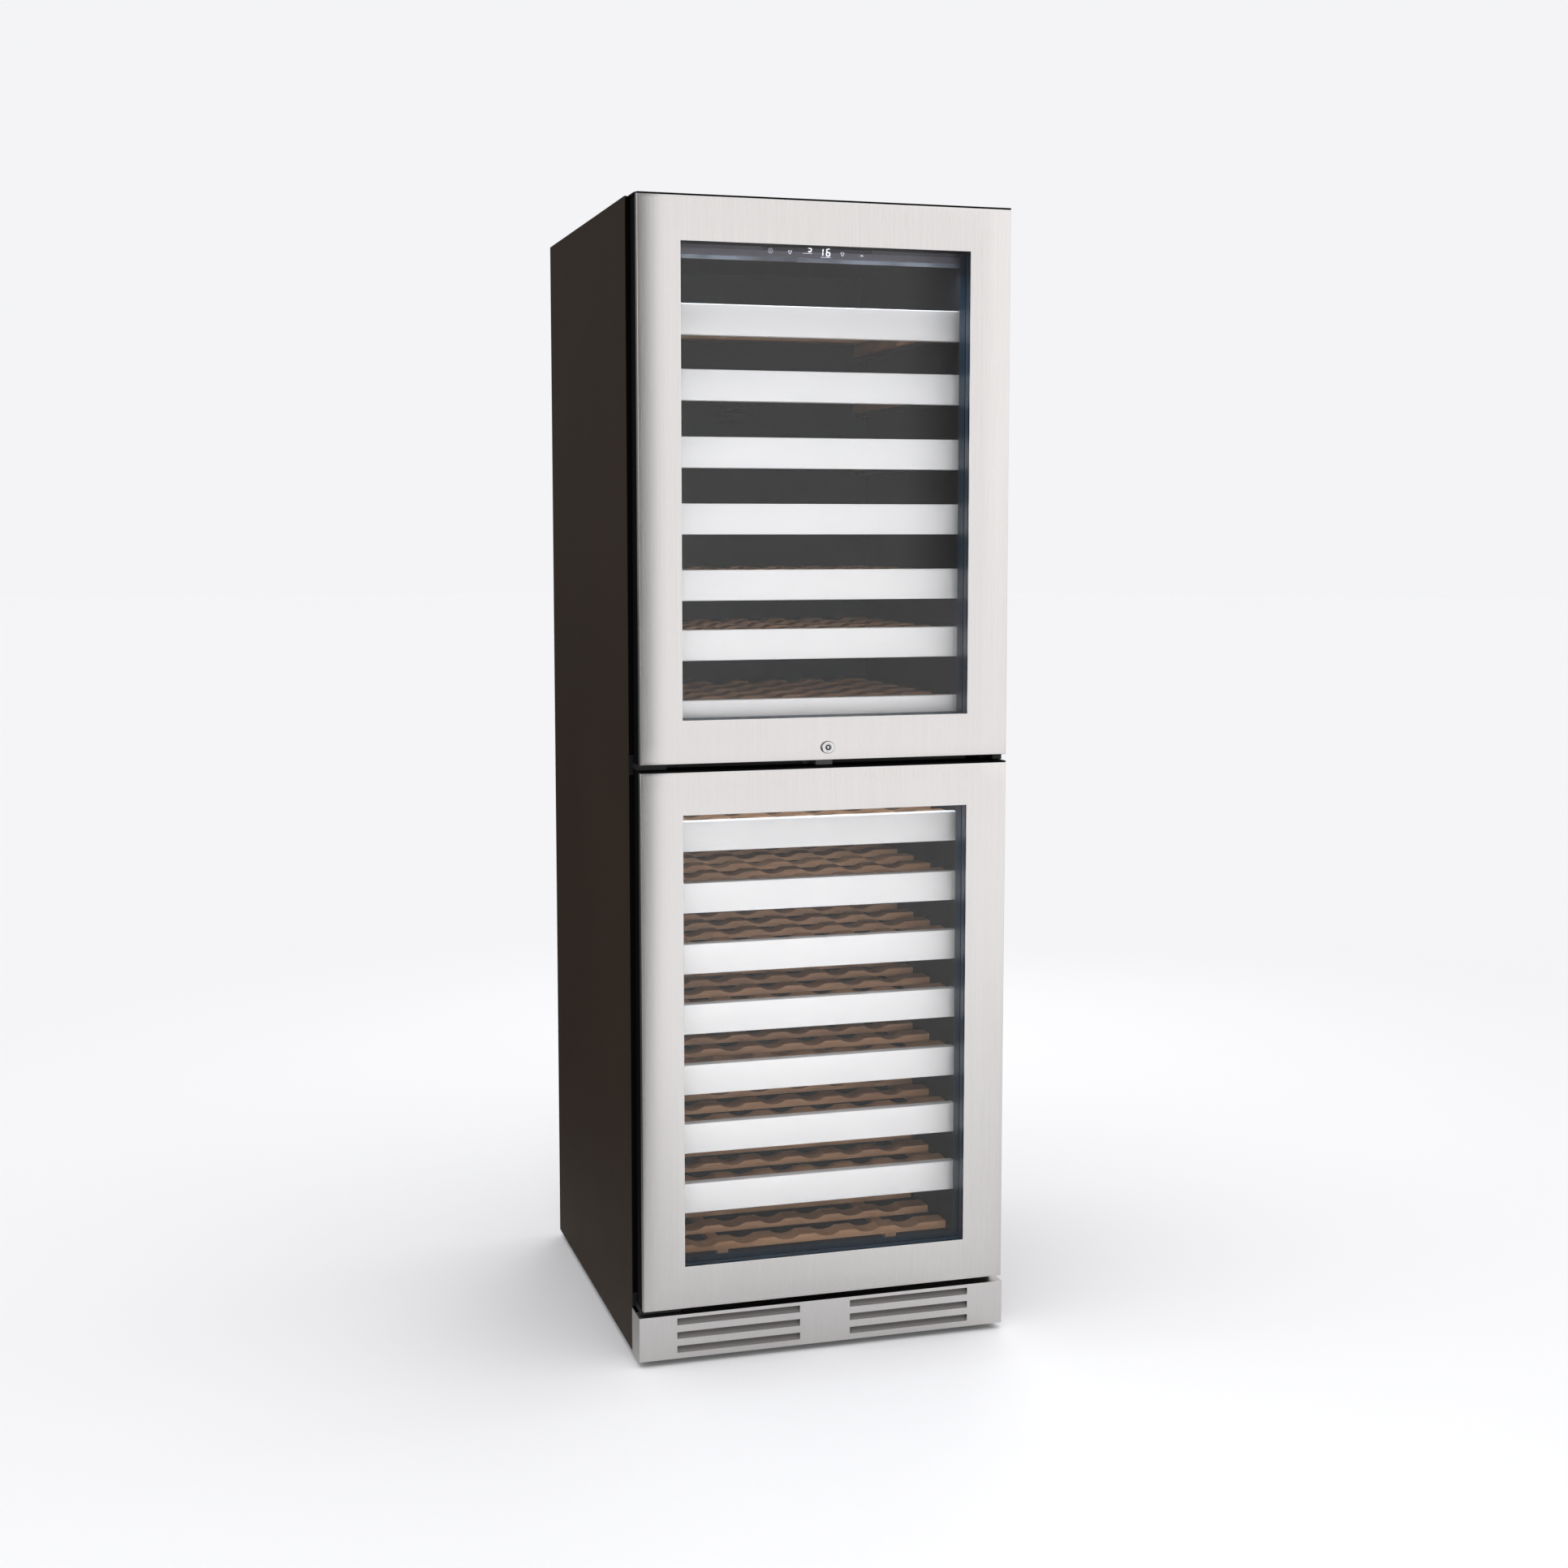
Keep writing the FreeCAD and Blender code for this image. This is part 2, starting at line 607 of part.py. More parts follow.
# ---------------------------------------------------------------- shelves
def shelf(label, top, rear):
    """Sliding rack: a metal-faced fascia on two side rails with scalloped cross slats."""
    top_text = "%.1f" % top
    pieces = [slab(label + "_fascia", "-shelf_x : shelf_x", "shelf_y : shelf_y + fascia_th",
                   "%s - fascia_h : %s" % (top_text, top_text))]
    side_z = "%s - side_drop : %s - side_drop + side_h" % (top_text, top_text)
    for name, ends in (("left", "-shelf_x + 5 : -shelf_x + 5 + side_w"),
                       ("right", "shelf_x - 5 - side_w : shelf_x - 5")):
        pieces.append(slab("%s_side_%s" % (label, name), ends,
                           "shelf_y + fascia_th : " + rear, side_z))
    slat_z = "%s - side_drop + side_h : %s - side_drop + side_h + slat_h" % (top_text, top_text)
    first = "shelf_y + fascia_th + 6"
    count = SLATS if rear == "shelf_back" else SLATS // 2 + 1
    step = "(%s - slat_w - (%s)) / %d" % (rear, first, count - 1)
    slats = []
    for i in range(count):
        low = "%s + %d * (%s)" % (first, i, step)
        slats.append(slab("%s_slat_%d" % (label, i), "-shelf_x + 5 : shelf_x - 5",
                          "%s : %s + slat_w" % (low, low), slat_z))
    hollows = []
    for i in range(BOTTLES):
        centre_x = "%.1f * bottle_pitch" % (i - (BOTTLES - 1) / 2)
        hollows.append(rod("%s_hollow_%d" % (label, i), "y", "bottle_rad",
                           "%s - shelf_y" % rear, centre_x, "shelf_y + fascia_th + 1",
                           "%s - side_drop + side_h + slat_h - scallop + bottle_rad" % top_text))
    pieces.append(carved(label + "_slats_cut", group(label + "_slats", slats), hollows))
    node(label, group(label + "_pieces", pieces))


def shelf_runners():
    """Moulded ledges on the liner walls, one pair under each rack."""
    ledges = []
    for zone, tops in (("up", UPPER_SHELF_TOPS), ("low", LOWER_SHELF_TOPS)):
        for i, top in enumerate(tops):
            rear = "short_back" if top < 300 else "shelf_back"
            ledge_z = ("%.1f - side_drop - runner_gap - runner_h : %.1f - side_drop - runner_gap"
                       % (top, top))
            for side, ends in (("left", "-cav_x : -cav_x + 28"), ("right", "cav_x - 28 : cav_x")):
                ledges.append(slab("ledge_%s_%d_%s" % (zone, i, side), ends,
                                   "shelf_y + fascia_th + 4 : " + rear, ledge_z))
    node("shelf_runners", group("ledges", ledges))


def floor_rack():
    """Loose slatted rack on the floor of the lower zone."""
    slats = []
    for i in range(4):
        low = "shelf_y + 22 + %d * 84" % i
        slats.append(slab("floor_slat_%d" % i, "-shelf_x + 5 : shelf_x - 5",
                          "%s : %s + slat_w" % (low, low), "low_low + 8 : low_low + 8 + slat_h"))
    for side, ends in (("left", "-150 : -132"), ("right", "132 : 150")):
        slats.append(slab("floor_bearer_" + side, ends, "shelf_y + 22 : short_back",
                          "low_low : low_low + 8"))
    hollows = []
    for i in range(BOTTLES):
        centre_x = "%.1f * bottle_pitch" % (i - (BOTTLES - 1) / 2)
        hollows.append(rod("floor_hollow_%d" % i, "y", "bottle_rad", "short_back - shelf_y",
                           centre_x, "shelf_y", "low_low + 8 + slat_h - scallop + bottle_rad"))
    node("floor_rack", carved("floor_rack_cut", fused("floor_rack_solid", slats), hollows))


# ---------------------------------------------------------------- controls and light
def controls():
    """Control panel under the ceiling, its display window and the light strips."""
    body = new_body("control_panel")
    profile = sketch_on(body, "panel_profile", "YZ_Plane", "-cav_x + 1")
    outline(profile, [
        ("front_y + 12", "1693"), ("front_y + 14", "1690.5"), ("front_y + 40", "1690.5"),
        ("front_y + 40", "up_high"), ("front_y + 12", "up_high")])
    pad(body, profile, "cav_x*2 - 2")
    window = sketch_on(body, "panel_window", "XZ_Plane", "-front_y - 12")
    frame_outline(window, "-84 : 92", "1695 : 1717")
    pocket(body, window, "2")
    node("control_panel", body)
    node("display_window", slab("display", "-84 : 92", "front_y + 12.3 : front_y + 14",
                                "1695 : 1717"))
    strips = [
        slab("led_upper", "-cav_x + 4 : cav_x - 4", "front_y + 18 : front_y + 30",
             "1686 : 1690.5"),
        slab("led_lower", "-cav_x + 4 : cav_x - 4", "front_y + 18 : front_y + 30",
             "low_high - 4.5 : low_high"),
    ]
    node("led_strips", group("leds", strips))


# ---------------------------------------------------------------- air and refrigeration
def duct_cover(name, low, high, fan_z):
    """Air duct cover in front of the evaporator, with fan slots and return slots."""
    plate = slab(name + "_plate", "-cav_x + 0.3 : cav_x - 0.3", "duct_y : duct_y + duct_th",
                 "%s + 0.3 : %s" % (low, high))
    slots = []
    for i in range(7):
        half = math.sqrt(max(0.0, 1 - ((i - 3) / 3.6) ** 2))
        slots.append(slab("%s_fan_slot_%d" % (name, i),
                          "-fan_rad*%.3f : fan_rad*%.3f" % (half, half),
                          "duct_y - 1 : duct_y + duct_th + 1",
                          "%s + %d - 3 : %s + %d + 3" % (fan_z, (i - 3) * 11, fan_z, (i - 3) * 11)))
    for i in range(3):
        slots.append(slab("%s_return_slot_%d" % (name, i), "-150 : 150",
                          "duct_y - 1 : duct_y + duct_th + 1",
                          "%s + 16 + %d : %s + 22 + %d" % (low, i * 12, low, i * 12)))
    node(name, carved(name + "_cut", plate, slots))


def fin_pack(name, x_span, y_span, z_span, fins, along):
    """Finned coil: thin plates threaded on tubes. Returns its solids."""
    spans = {"x": x_span, "y": y_span, "z": z_span}
    low, high = span(spans[along])
    pieces = []
    for i in range(fins):
        share = "(%s) + ((%s) - (%s) - 1) * %d/%d" % (low, high, low, i, fins - 1)
        spans[along] = "%s : %s + 1" % (share, share)
        pieces.append(slab("%s_fin_%d" % (name, i), spans["x"], spans["y"], spans["z"]))
    return pieces


def evaporators():
    """A finned evaporator for each zone."""
    packs = []
    for name, low in (("up_coil", "1020"), ("low_coil", "400")):
        fins = fin_pack(name, "-190 : 190", "231 : 257", "%s : %s + 220" % (low, low), 20, "x")
        tubes = [rod("%s_tube_%d" % (name, i), "x", "4", "400", "-200", "244",
                     "%s + %d" % (low, 28 + 55 * i)) for i in range(4)]
        packs.append(fused(name, fins + tubes))
    node("evaporators", group("coils", packs))


def fan(name, radius, depth, blades, x, y, z, turn):
    """Axial fan made about its own axis, then turned into place."""
    body = new_body(name)
    hub = sketch_on(body, name + "_hub", "XY_Plane", "-(%s)/2" % depth)
    ring_outline(hub, radius + " * 0.32")
    ring_outline(hub, "shaft_bore")
    pad(body, hub, depth)
    blade = sketch_on(body, name + "_blade", "XZ_Plane", radius + " * 0.3")
    outline(blade, [
        ("-%s*0.24" % radius, "-(%s)*0.42" % depth), ("-%s*0.20" % radius, "-(%s)*0.46" % depth),
        ("%s*0.24" % radius, "(%s)*0.42" % depth), ("%s*0.20" % radius, "(%s)*0.46" % depth)])
    blade_pad = pad(body, blade, radius + " * 0.68")
    doc.recompute()
    pattern = body.newObject("PartDesign::PolarPattern", name + "_blades")
    pattern.Originals = [blade_pad]
    pattern.Axis = (body_plane(body, "Z_Axis"), [""])
    pattern.Angle = 360
    pattern.Occurrences = blades
    body.Tip = pattern
    place(body, x, y, z, turn)
    node(name, body)


def fans_and_motors():
    fan("upper_fan", "fan_rad", "15", 7, "0", "fan_y", "up_fan_z", AXIS_TURN["y"])
    fan("lower_fan", "fan_rad", "15", 7, "0", "fan_y", "low_fan_z", AXIS_TURN["y"])
    fan("condenser_fan", "cond_fan_rad", "22", 5, "cond_fan_x", "cond_fan_y", "cond_fan_z",
        AXIS_TURN["x"])
    motors = []
    for name, height in (("up_motor", "up_fan_z"), ("low_motor", "low_fan_z")):
        motors += [
            rod(name + "_can", "y", "12", "cav_back - fan_y - 8.5", "0", "fan_y + 8.5", height),
            rod(name + "_shaft", "y", "shaft_rad", "16", "0", "fan_y - 7.5", height),
        ]
    motors += [
        rod("cond_motor_can", "x", "24", "34", "cond_fan_x - 46", "cond_fan_y", "cond_fan_z"),
        rod("cond_motor_shaft", "x", "shaft_rad", "23", "cond_fan_x - 12", "cond_fan_y",
            "cond_fan_z"),
        slab("cond_motor_stand", "cond_fan_x - 34 : cond_fan_x - 24",
             "cond_fan_y - 12 : cond_fan_y + 12", "foot_z + 2 : cond_fan_z - 20"),
    ]
    pairs = [fused("up_motor", motors[0:2]), fused("low_motor", motors[2:4]),
             fused("cond_motor", motors[4:7])]
    node("fan_motors", group("motors", pairs))


def compressor():
    """Hermetic compressor: a welded can with domed ends on a mounting plate."""
    body = new_body("compressor")
    profile = sketch_on(body, "compressor_profile", "XZ_Plane")
    outline(profile, [
        ("0", "10"), ("comp_rad*0.55", "14"), ("comp_rad*0.9", "30"), ("comp_rad", "52"),
        ("comp_rad", "88"), ("comp_rad + 2.5", "89"), ("comp_rad + 2.5", "95"),
        ("comp_rad", "96"), ("comp_rad", "130"), ("comp_rad*0.88", "154"),
        ("comp_rad*0.5", "170"), ("0", "174")])
    revolve(body, profile)
    plate = sketch_on(body, "compressor_plate", "XY_Plane")
    frame_outline(plate, "-comp_rad - 10 : comp_rad + 10", "-60 : 60")
    pad(body, plate, "14")
    place(body, "comp_x", "comp_y", "foot_z + 2")
    node("compressor", body)


def condenser():
    """Finned condenser that the compartment's fan blows through."""
    fins = fin_pack("condenser", "30 : 200", "126 : 306", "foot_z + 14 : 226", 18, "x")
    tubes = []
    for i in range(3):
        for j in range(3):
            tubes.append(rod("condenser_tube_%d_%d" % (i, j), "x", "4", "186", "22",
                             "%d" % (156 + 60 * i), "foot_z + %d" % (50 + 60 * j)))
    feet_bar = slab("condenser_base", "30 : 200", "150 : 280", "foot_z + 2 : foot_z + 14")
    node("condenser", fused("condenser_pack", fins + tubes + [feet_bar]))


def pipe(name, points, radius):
    """A bent tube through the points, with an arc at each bend."""
    places = [Vector(*point) for point in points]
    edges = []
    start = places[0]
    for before, corner, after in zip(places, places[1:], places[2:]):
        into = (corner - before).normalize()
        out = (after - corner).normalize()
        bend = min((corner - before).Length, (after - corner).Length) * 0.45
        first, last = corner - into * bend, corner + out * bend
        # The arc's middle lies on the line from the corner to the arc's centre.
        half_turn = into.getAngle(out) / 2
        inner = (out - into).normalize()
        reach = bend * math.tan(half_turn) * (1 / math.sin(half_turn) - 1) * math.tan(
            math.pi / 2 - half_turn)
        middle = corner + inner * reach
        edges.append(Part.LineSegment(start, first).toShape())
        edges.append(Part.Arc(first, middle, last).toShape())
        start = last
    edges.append(Part.LineSegment(start, places[-1]).toShape())
    spine = Part.Wire(edges)
    circle = Part.Circle(places[0], places[1] - places[0], radius)
    profile = Part.Wire([circle.toShape()])
    tube = doc.addObject("Part::Feature", name)
    tube.Shape = spine.makePipeShell([profile], True, False)
    return tube


def refrigerant_pipes():
    """Suction and delivery lines between the compressor, condenser and coils."""
    comp_x, comp_y = number("comp_x"), number("comp_y")
    top_z = number("foot_z + 2") + 150
    runs = [
        pipe("pipe_delivery", [(comp_x + 30, comp_y + 10, top_z + 14),
                               (comp_x + 30, comp_y + 10, top_z + 60),
                               (215, comp_y + 10, top_z + 60),
                               (215, comp_y + 10, 182)], 4),
        pipe("pipe_suction", [(comp_x - 20, comp_y + 40, top_z + 14),
                              (comp_x - 20, comp_y + 40, top_z + 75),
                              (210, comp_y + 40, top_z + 75),
                              (210, 314, top_z + 75),
                              (210, 314, 1312),
                              (210, 263, 1312)], 4),
    ]
    node("refrigerant_pipes", group("pipes", runs))


def rear_parts():
    """Vented service cover over the machine compartment, and the mains inlet."""
    plate = slab("cover_plate", "-285 : 285", "back_y : back_y + 2", "foot_z + 6 : bay_z + 4")
    bumpers = [slab("cover_bumper_" + side, ends, "back_y + 2 : rear_y", "foot_z + 20 : bay_z - 10")
               for side, ends in (("left", "-280 : -262"), ("right", "262 : 280"))]
    slots = []
    for i in range(9):
        slots.append(slab("cover_slot_%d" % i, "-225 : 150", "back_y - 1 : back_y + 3",
                          "%d : %d" % (48 + 20 * i, 56 + 20 * i)))
    slots.append(slab("cover_inlet_hole", "186 : 216", "back_y - 1 : back_y + 3", "60 : 84"))
    node("rear_service_cover", carved("cover", fused("cover_solid", [plate] + bumpers), slots))

    housing = slab("inlet_housing", "186.3 : 215.7", "back_y - 18 : back_y + 2", "60.3 : 83.7")
    collar = slab("inlet_collar", "183 : 219", "back_y + 2 : back_y + 4.5", "57 : 87")
    recess = slab("inlet_recess", "189.5 : 212.5", "back_y - 12 : back_y + 6", "63.5 : 80.5")
    blades = [slab("inlet_blade_%d" % i, "%.1f : %.1f" % (x - 1, x + 1),
                   "back_y - 12 : back_y", "%.1f : %.1f" % (z - 2, z + 2))
              for i, (x, z) in enumerate(((194, 69), (208, 69), (201, 75)))]
    socket = carved("inlet_socket", fused("inlet_solid", [housing, collar]), [recess])
    node("power_inlet", fused("inlet", [socket] + blades))


# ---------------------------------------------------------------- build and write
outer_wrap()
back_panel()
base_pan()
insulation_foam()
liners()
front_frame()
plinth_grille()
feet()
hinges()
door("upper_door", "up_door_low", "up_door_high", True)
door("lower_door", "low_door_low", "low_door_high", False)
lock()
for index, shelf_top in enumerate(UPPER_SHELF_TOPS, start=1):
    shelf("upper_shelf_%d" % index, shelf_top, "shelf_back")
for index, shelf_top in enumerate(LOWER_SHELF_TOPS, start=1):
    shelf("lower_shelf_%d" % index, shelf_top, "short_back" if shelf_top < 300 else "shelf_back")
shelf_runners()
floor_rack()
controls()
duct_cover("upper_duct_cover", "up_low", "1640", "up_fan_z")
duct_cover("lower_duct_cover", "step_z", "860", "low_fan_z")
evaporators()
fans_and_motors()
compressor()
condenser()
refrigerant_pipes()
rear_parts()
doc.recompute()

for item in doc.Objects:
    if "Invalid" in item.State or "Error" in item.State:
        raise RuntimeError("%s is in state %s" % (item.Name, item.State))
for label, piece in nodes.items():
    shape = piece.Shape
    if shape.isNull() or not shape.isValid() or not shape.Solids:
        raise RuntimeError(label + " has no valid shape")

os.makedirs("parts", exist_ok=True)
for label, piece in nodes.items():
    piece.Shape.exportStep("parts/%s.step" % label)
print("nodes:", len(nodes))
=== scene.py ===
"""Looks of the two-door wine cooler: materials, trims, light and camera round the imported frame.

Metres, in the frame's own axes: +X is the viewer's right, the doors face -Y, +Z is up.
"""
import math

import bmesh
import bpy
from mathutils import Matrix, Vector

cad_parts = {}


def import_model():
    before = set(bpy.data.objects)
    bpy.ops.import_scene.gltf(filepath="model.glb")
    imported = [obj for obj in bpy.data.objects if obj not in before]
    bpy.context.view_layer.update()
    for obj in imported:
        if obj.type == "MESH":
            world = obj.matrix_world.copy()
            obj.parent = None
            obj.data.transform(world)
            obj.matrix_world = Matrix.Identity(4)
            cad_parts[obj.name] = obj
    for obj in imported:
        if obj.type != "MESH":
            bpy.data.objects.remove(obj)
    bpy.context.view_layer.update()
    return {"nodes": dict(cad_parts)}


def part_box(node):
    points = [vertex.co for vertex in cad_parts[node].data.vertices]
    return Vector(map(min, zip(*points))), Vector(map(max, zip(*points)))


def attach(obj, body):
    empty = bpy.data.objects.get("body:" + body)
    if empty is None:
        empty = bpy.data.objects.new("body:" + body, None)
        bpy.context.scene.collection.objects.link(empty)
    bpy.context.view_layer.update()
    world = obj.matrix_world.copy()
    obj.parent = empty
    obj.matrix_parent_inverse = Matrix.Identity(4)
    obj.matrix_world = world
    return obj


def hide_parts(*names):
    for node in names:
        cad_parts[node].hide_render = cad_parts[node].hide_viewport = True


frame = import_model()
NODES = frame["nodes"]
MM = 0.001
SHELF_COUNT = 7
ZONES = ("upper", "lower")
# a door skin's shading turns away near its edges: (width of the turn, drop at the edge)
CROWN_SIDE = (45 * MM, 4.5 * MM)
CROWN_END = (32 * MM, 1.8 * MM)


# ---------------------------------------------------------------- material helpers
class Surface:
    """A material with one Principled shader and small helpers for the nodes that feed it."""

    def __init__(self, name, color, **sockets):
        self.material = bpy.data.materials.new(name)
        self.material.use_nodes = True
        tree = self.material.node_tree
        self.nodes, self.links = tree.nodes, tree.links
        self.shader = self.nodes["Principled BSDF"]
        self.shader.inputs["Base Color"].default_value = (*color, 1)
        for socket, value in sockets.items():
            self.shader.inputs[socket.replace("_", " ")].default_value = value

    def coordinates(self, stretch=(1, 1, 1)):
        """Object coordinates, stretched so that a grain runs along an axis."""
        place = self.nodes.new("ShaderNodeTexCoord")
        mapping = self.nodes.new("ShaderNodeMapping")
        mapping.inputs["Scale"].default_value = stretch
        self.links.new(place.outputs["Object"], mapping.inputs["Vector"])
        return mapping.outputs["Vector"]

    def noise(self, stretch, scale, detail=3.0, rough=0.55):
        node = self.nodes.new("ShaderNodeTexNoise")
        node.inputs["Scale"].default_value = scale
        node.inputs["Detail"].default_value = detail
        node.inputs["Roughness"].default_value = rough
        self.links.new(self.coordinates(stretch), node.inputs["Vector"])
        return node.outputs["Fac"]

    def ramp(self, factor, *stops):
        """A colour ramp from (position, colour) stops."""
        node = self.nodes.new("ShaderNodeValToRGB")
        elements = node.color_ramp.elements
        while len(elements) < len(stops):
            elements.new(0.5)
        for element, (position, color) in zip(elements, stops):
            element.position = position
            element.color = (*color, 1)
        self.links.new(factor, node.inputs["Fac"])
        return node.outputs["Color"]

    def range(self, factor, low, high, start=0.3, end=0.7):
        node = self.nodes.new("ShaderNodeMapRange")
        node.inputs["From Min"].default_value = start
        node.inputs["From Max"].default_value = end
        node.inputs["To Min"].default_value = low
        node.inputs["To Max"].default_value = high
        self.links.new(factor, node.inputs["Value"])
        return node.outputs["Result"]

    def multiply(self, first, second):
        node = self.nodes.new("ShaderNodeMix")
        node.data_type = "RGBA"
        node.blend_type = "MULTIPLY"
        node.inputs["Factor"].default_value = 1
        self.links.new(first, node.inputs[6])
        self.links.new(second, node.inputs[7])
        return node.outputs[2]

    def feed(self, socket, output):
        self.links.new(output, self.shader.inputs[socket])

    def bump(self, height, strength, distance):
        node = self.nodes.new("ShaderNodeBump")
        node.inputs["Strength"].default_value = strength
        node.inputs["Distance"].default_value = distance
        if self.shader.inputs["Normal"].links:
            self.links.new(self.shader.inputs["Normal"].links[0].from_socket,
                           node.inputs["Normal"])
        self.links.new(height, node.inputs["Height"])
        self.feed("Normal", node.outputs["Normal"])

    def math(self, operation, first, second):
        """A Math node; second is an output or a number."""
        node = self.nodes.new("ShaderNodeMath")
        node.operation = operation
        self.links.new(first, node.inputs[0])
        if isinstance(second, (int, float)):
            node.inputs[1].default_value = second
        else:
            self.links.new(second, node.inputs[1])
        return node.outputs["Value"]

    def crown(self, low, high, side, end):
        """Slight pressed crown: the face turns away near the edges of a front rectangle.

        side and end are (width, drop) in metres for the upright and the level edges.
        """
        place = self.nodes.new("ShaderNodeTexCoord")
        split = self.nodes.new("ShaderNodeSeparateXYZ")
        self.links.new(place.outputs["Object"], split.inputs["Vector"])
        total = None
        for axis, edge, inward, (width, drop) in (("X", low.x, 1, side), ("X", high.x, -1, side),
                                                  ("Z", low.z, 1, end), ("Z", high.z, -1, end)):
            share = self.range(split.outputs[axis], 1, 0, edge, edge + inward * width)
            fall = self.math("MULTIPLY", self.math("POWER", share, 2.0), drop / MM)
            total = fall if total is None else self.math("ADD", total, fall)
        self.bump(self.math("MULTIPLY", total, -1.0), 1.0, MM)


def shade(color, factor):
    return tuple(channel * factor for channel in color)


# ---------------------------------------------------------------- materials
def brushed_steel(name, color, roughness=0.24, face=None):
    """Stainless sheet with long fine upright scratches; face is the box of a crowned front."""
    surface = Surface(name, color, Metallic=1.0, Roughness=roughness, Anisotropic=0.45)
    hair = surface.noise((1, 1, 0.006), 2600, 3, 0.6)
    band = surface.noise((1, 1, 0.006), 420, 2)
    cloud = surface.noise((1, 1, 0.5), 3.0, 3)
    hair_tone = surface.ramp(hair, (0.30, shade(color, 0.94)), (0.70, shade(color, 1.03)))
    band_tone = surface.ramp(band, (0.3, (0.97, 0.97, 0.97)), (0.7, (1, 1, 1)))
    cloud_tone = surface.ramp(cloud, (0.3, (0.975, 0.972, 0.97)), (0.7, (1, 1, 1)))
    tone = surface.multiply(hair_tone, surface.multiply(band_tone, cloud_tone))
    surface.feed("Base Color", tone)
    surface.feed("Roughness", surface.range(hair, roughness - 0.03, roughness + 0.04))
    if face:
        surface.crown(face[0], face[1], CROWN_SIDE, CROWN_END)
    surface.bump(hair, 0.05, 0.00004)
    tangent = surface.nodes.new("ShaderNodeTangent")
    tangent.direction_type = "RADIAL"
    tangent.axis = "Z"
    surface.feed("Tangent", tangent.outputs["Tangent"])
    return surface.material


def painted_steel(name, color, roughness=0.42, peel=0.12, gloss=0.3):
    """Powder-coated sheet: orange-peel bump and faint cloudiness."""
    surface = Surface(name, color, Roughness=roughness, Specular_IOR_Level=gloss)
    peel_height = surface.noise((1, 1, 1), 900, 2)
    cloud = surface.noise((1, 1, 1), 5, 4)
    surface.feed("Base Color", surface.ramp(cloud, (0.3, shade(color, 0.95)),
                                            (0.7, shade(color, 1.05))))
    surface.feed("Roughness", surface.range(cloud, roughness - 0.03, roughness + 0.03))
    surface.bump(peel_height, peel, 0.0002)
    return surface.material


def moulded_plastic(name, color, roughness=0.5, texture=0.25, scale=1400, gloss=0.3):
    """Injection-moulded plastic with a fine spark-eroded texture."""
    surface = Surface(name, color, Roughness=roughness, Specular_IOR_Level=gloss)
    grain = surface.noise((1, 1, 1), scale, 4)
    cloud = surface.noise((1, 1, 1), 9, 2)
    surface.feed("Base Color", surface.ramp(cloud, (0.3, shade(color, 0.88)),
                                            (0.7, shade(color, 1.1))))
    surface.feed("Roughness", surface.range(grain, roughness - 0.06, roughness + 0.08))
    surface.bump(grain, texture, 0.00012)
    return surface.material


def satin_aluminium(name, color, roughness=0.36):
    """Anodised aluminium, nearly plain, with a very fine lengthwise grain."""
    surface = Surface(name, color, Metallic=0.15, Roughness=roughness)
    line = surface.noise((0.015, 1, 1), 900, 2)
    cloud = surface.noise((1, 1, 1), 14, 3)
    surface.feed("Base Color", surface.multiply(
        surface.ramp(line, (0.3, shade(color, 0.975)), (0.7, shade(color, 1.01))),
        surface.ramp(cloud, (0.3, (0.975, 0.975, 0.98)), (0.7, (1, 1, 1)))))
    surface.feed("Roughness", surface.range(line, roughness - 0.03, roughness + 0.04))
    surface.bump(line, 0.06, 0.00005)
    return surface.material


def beech(name, grain):
    """Oiled beech: long fibres, short dark flecks and slow colour bands."""
    light, dark = (0.64, 0.37, 0.21), (0.44, 0.235, 0.125)
    surface = Surface(name, light, Roughness=0.5)
    along = {"x": (0.05, 1, 1), "y": (1, 0.05, 1)}[grain]
    flecks_along = {"x": (0.16, 1, 1), "y": (1, 0.16, 1)}[grain]
    fibre = surface.noise(along, 420, 5, 0.7)
    rings = surface.noise(along, 46, 3, 0.5)
    flecks = surface.noise(flecks_along, 900, 1, 0.4)
    wood = surface.ramp(rings, (0.32, dark), (0.5, shade(light, 0.86)), (0.68, light))
    fibre_tone = surface.ramp(fibre, (0.3, (0.80, 0.76, 0.72)), (0.7, (1.0, 1.0, 1.0)))
    fleck_tone = surface.ramp(flecks, (0.26, (0.62, 0.52, 0.45)), (0.36, (1.0, 1.0, 1.0)))
    surface.feed("Base Color", surface.multiply(wood, surface.multiply(fibre_tone, fleck_tone)))
    surface.feed("Roughness", surface.range(fibre, 0.42, 0.6))
    surface.bump(fibre, 0.25, 0.0003)
    return surface.material


def clear_glass(name, color):
    """Clear pane with faint wipe marks. It lets lamps light what is behind it."""
    surface = Surface(name, color, Roughness=0.015, IOR=1.27, Transmission_Weight=1.0)
    smear = surface.noise((1, 1, 0.35), 7, 5)
    surface.feed("Roughness", surface.range(smear, 0.008, 0.035))
    clear = surface.nodes.new("ShaderNodeBsdfTransparent")
    clear.inputs["Color"].default_value = (*color, 1)
    path = surface.nodes.new("ShaderNodeLightPath")
    either = surface.nodes.new("ShaderNodeMixShader")
    output = surface.nodes["Material Output"]
    surface.links.new(path.outputs["Is Shadow Ray"], either.inputs["Fac"])
    surface.links.new(surface.shader.outputs["BSDF"], either.inputs[1])
    surface.links.new(clear.outputs["BSDF"], either.inputs[2])
    surface.links.new(either.outputs["Shader"], output.inputs["Surface"])
    return surface.material


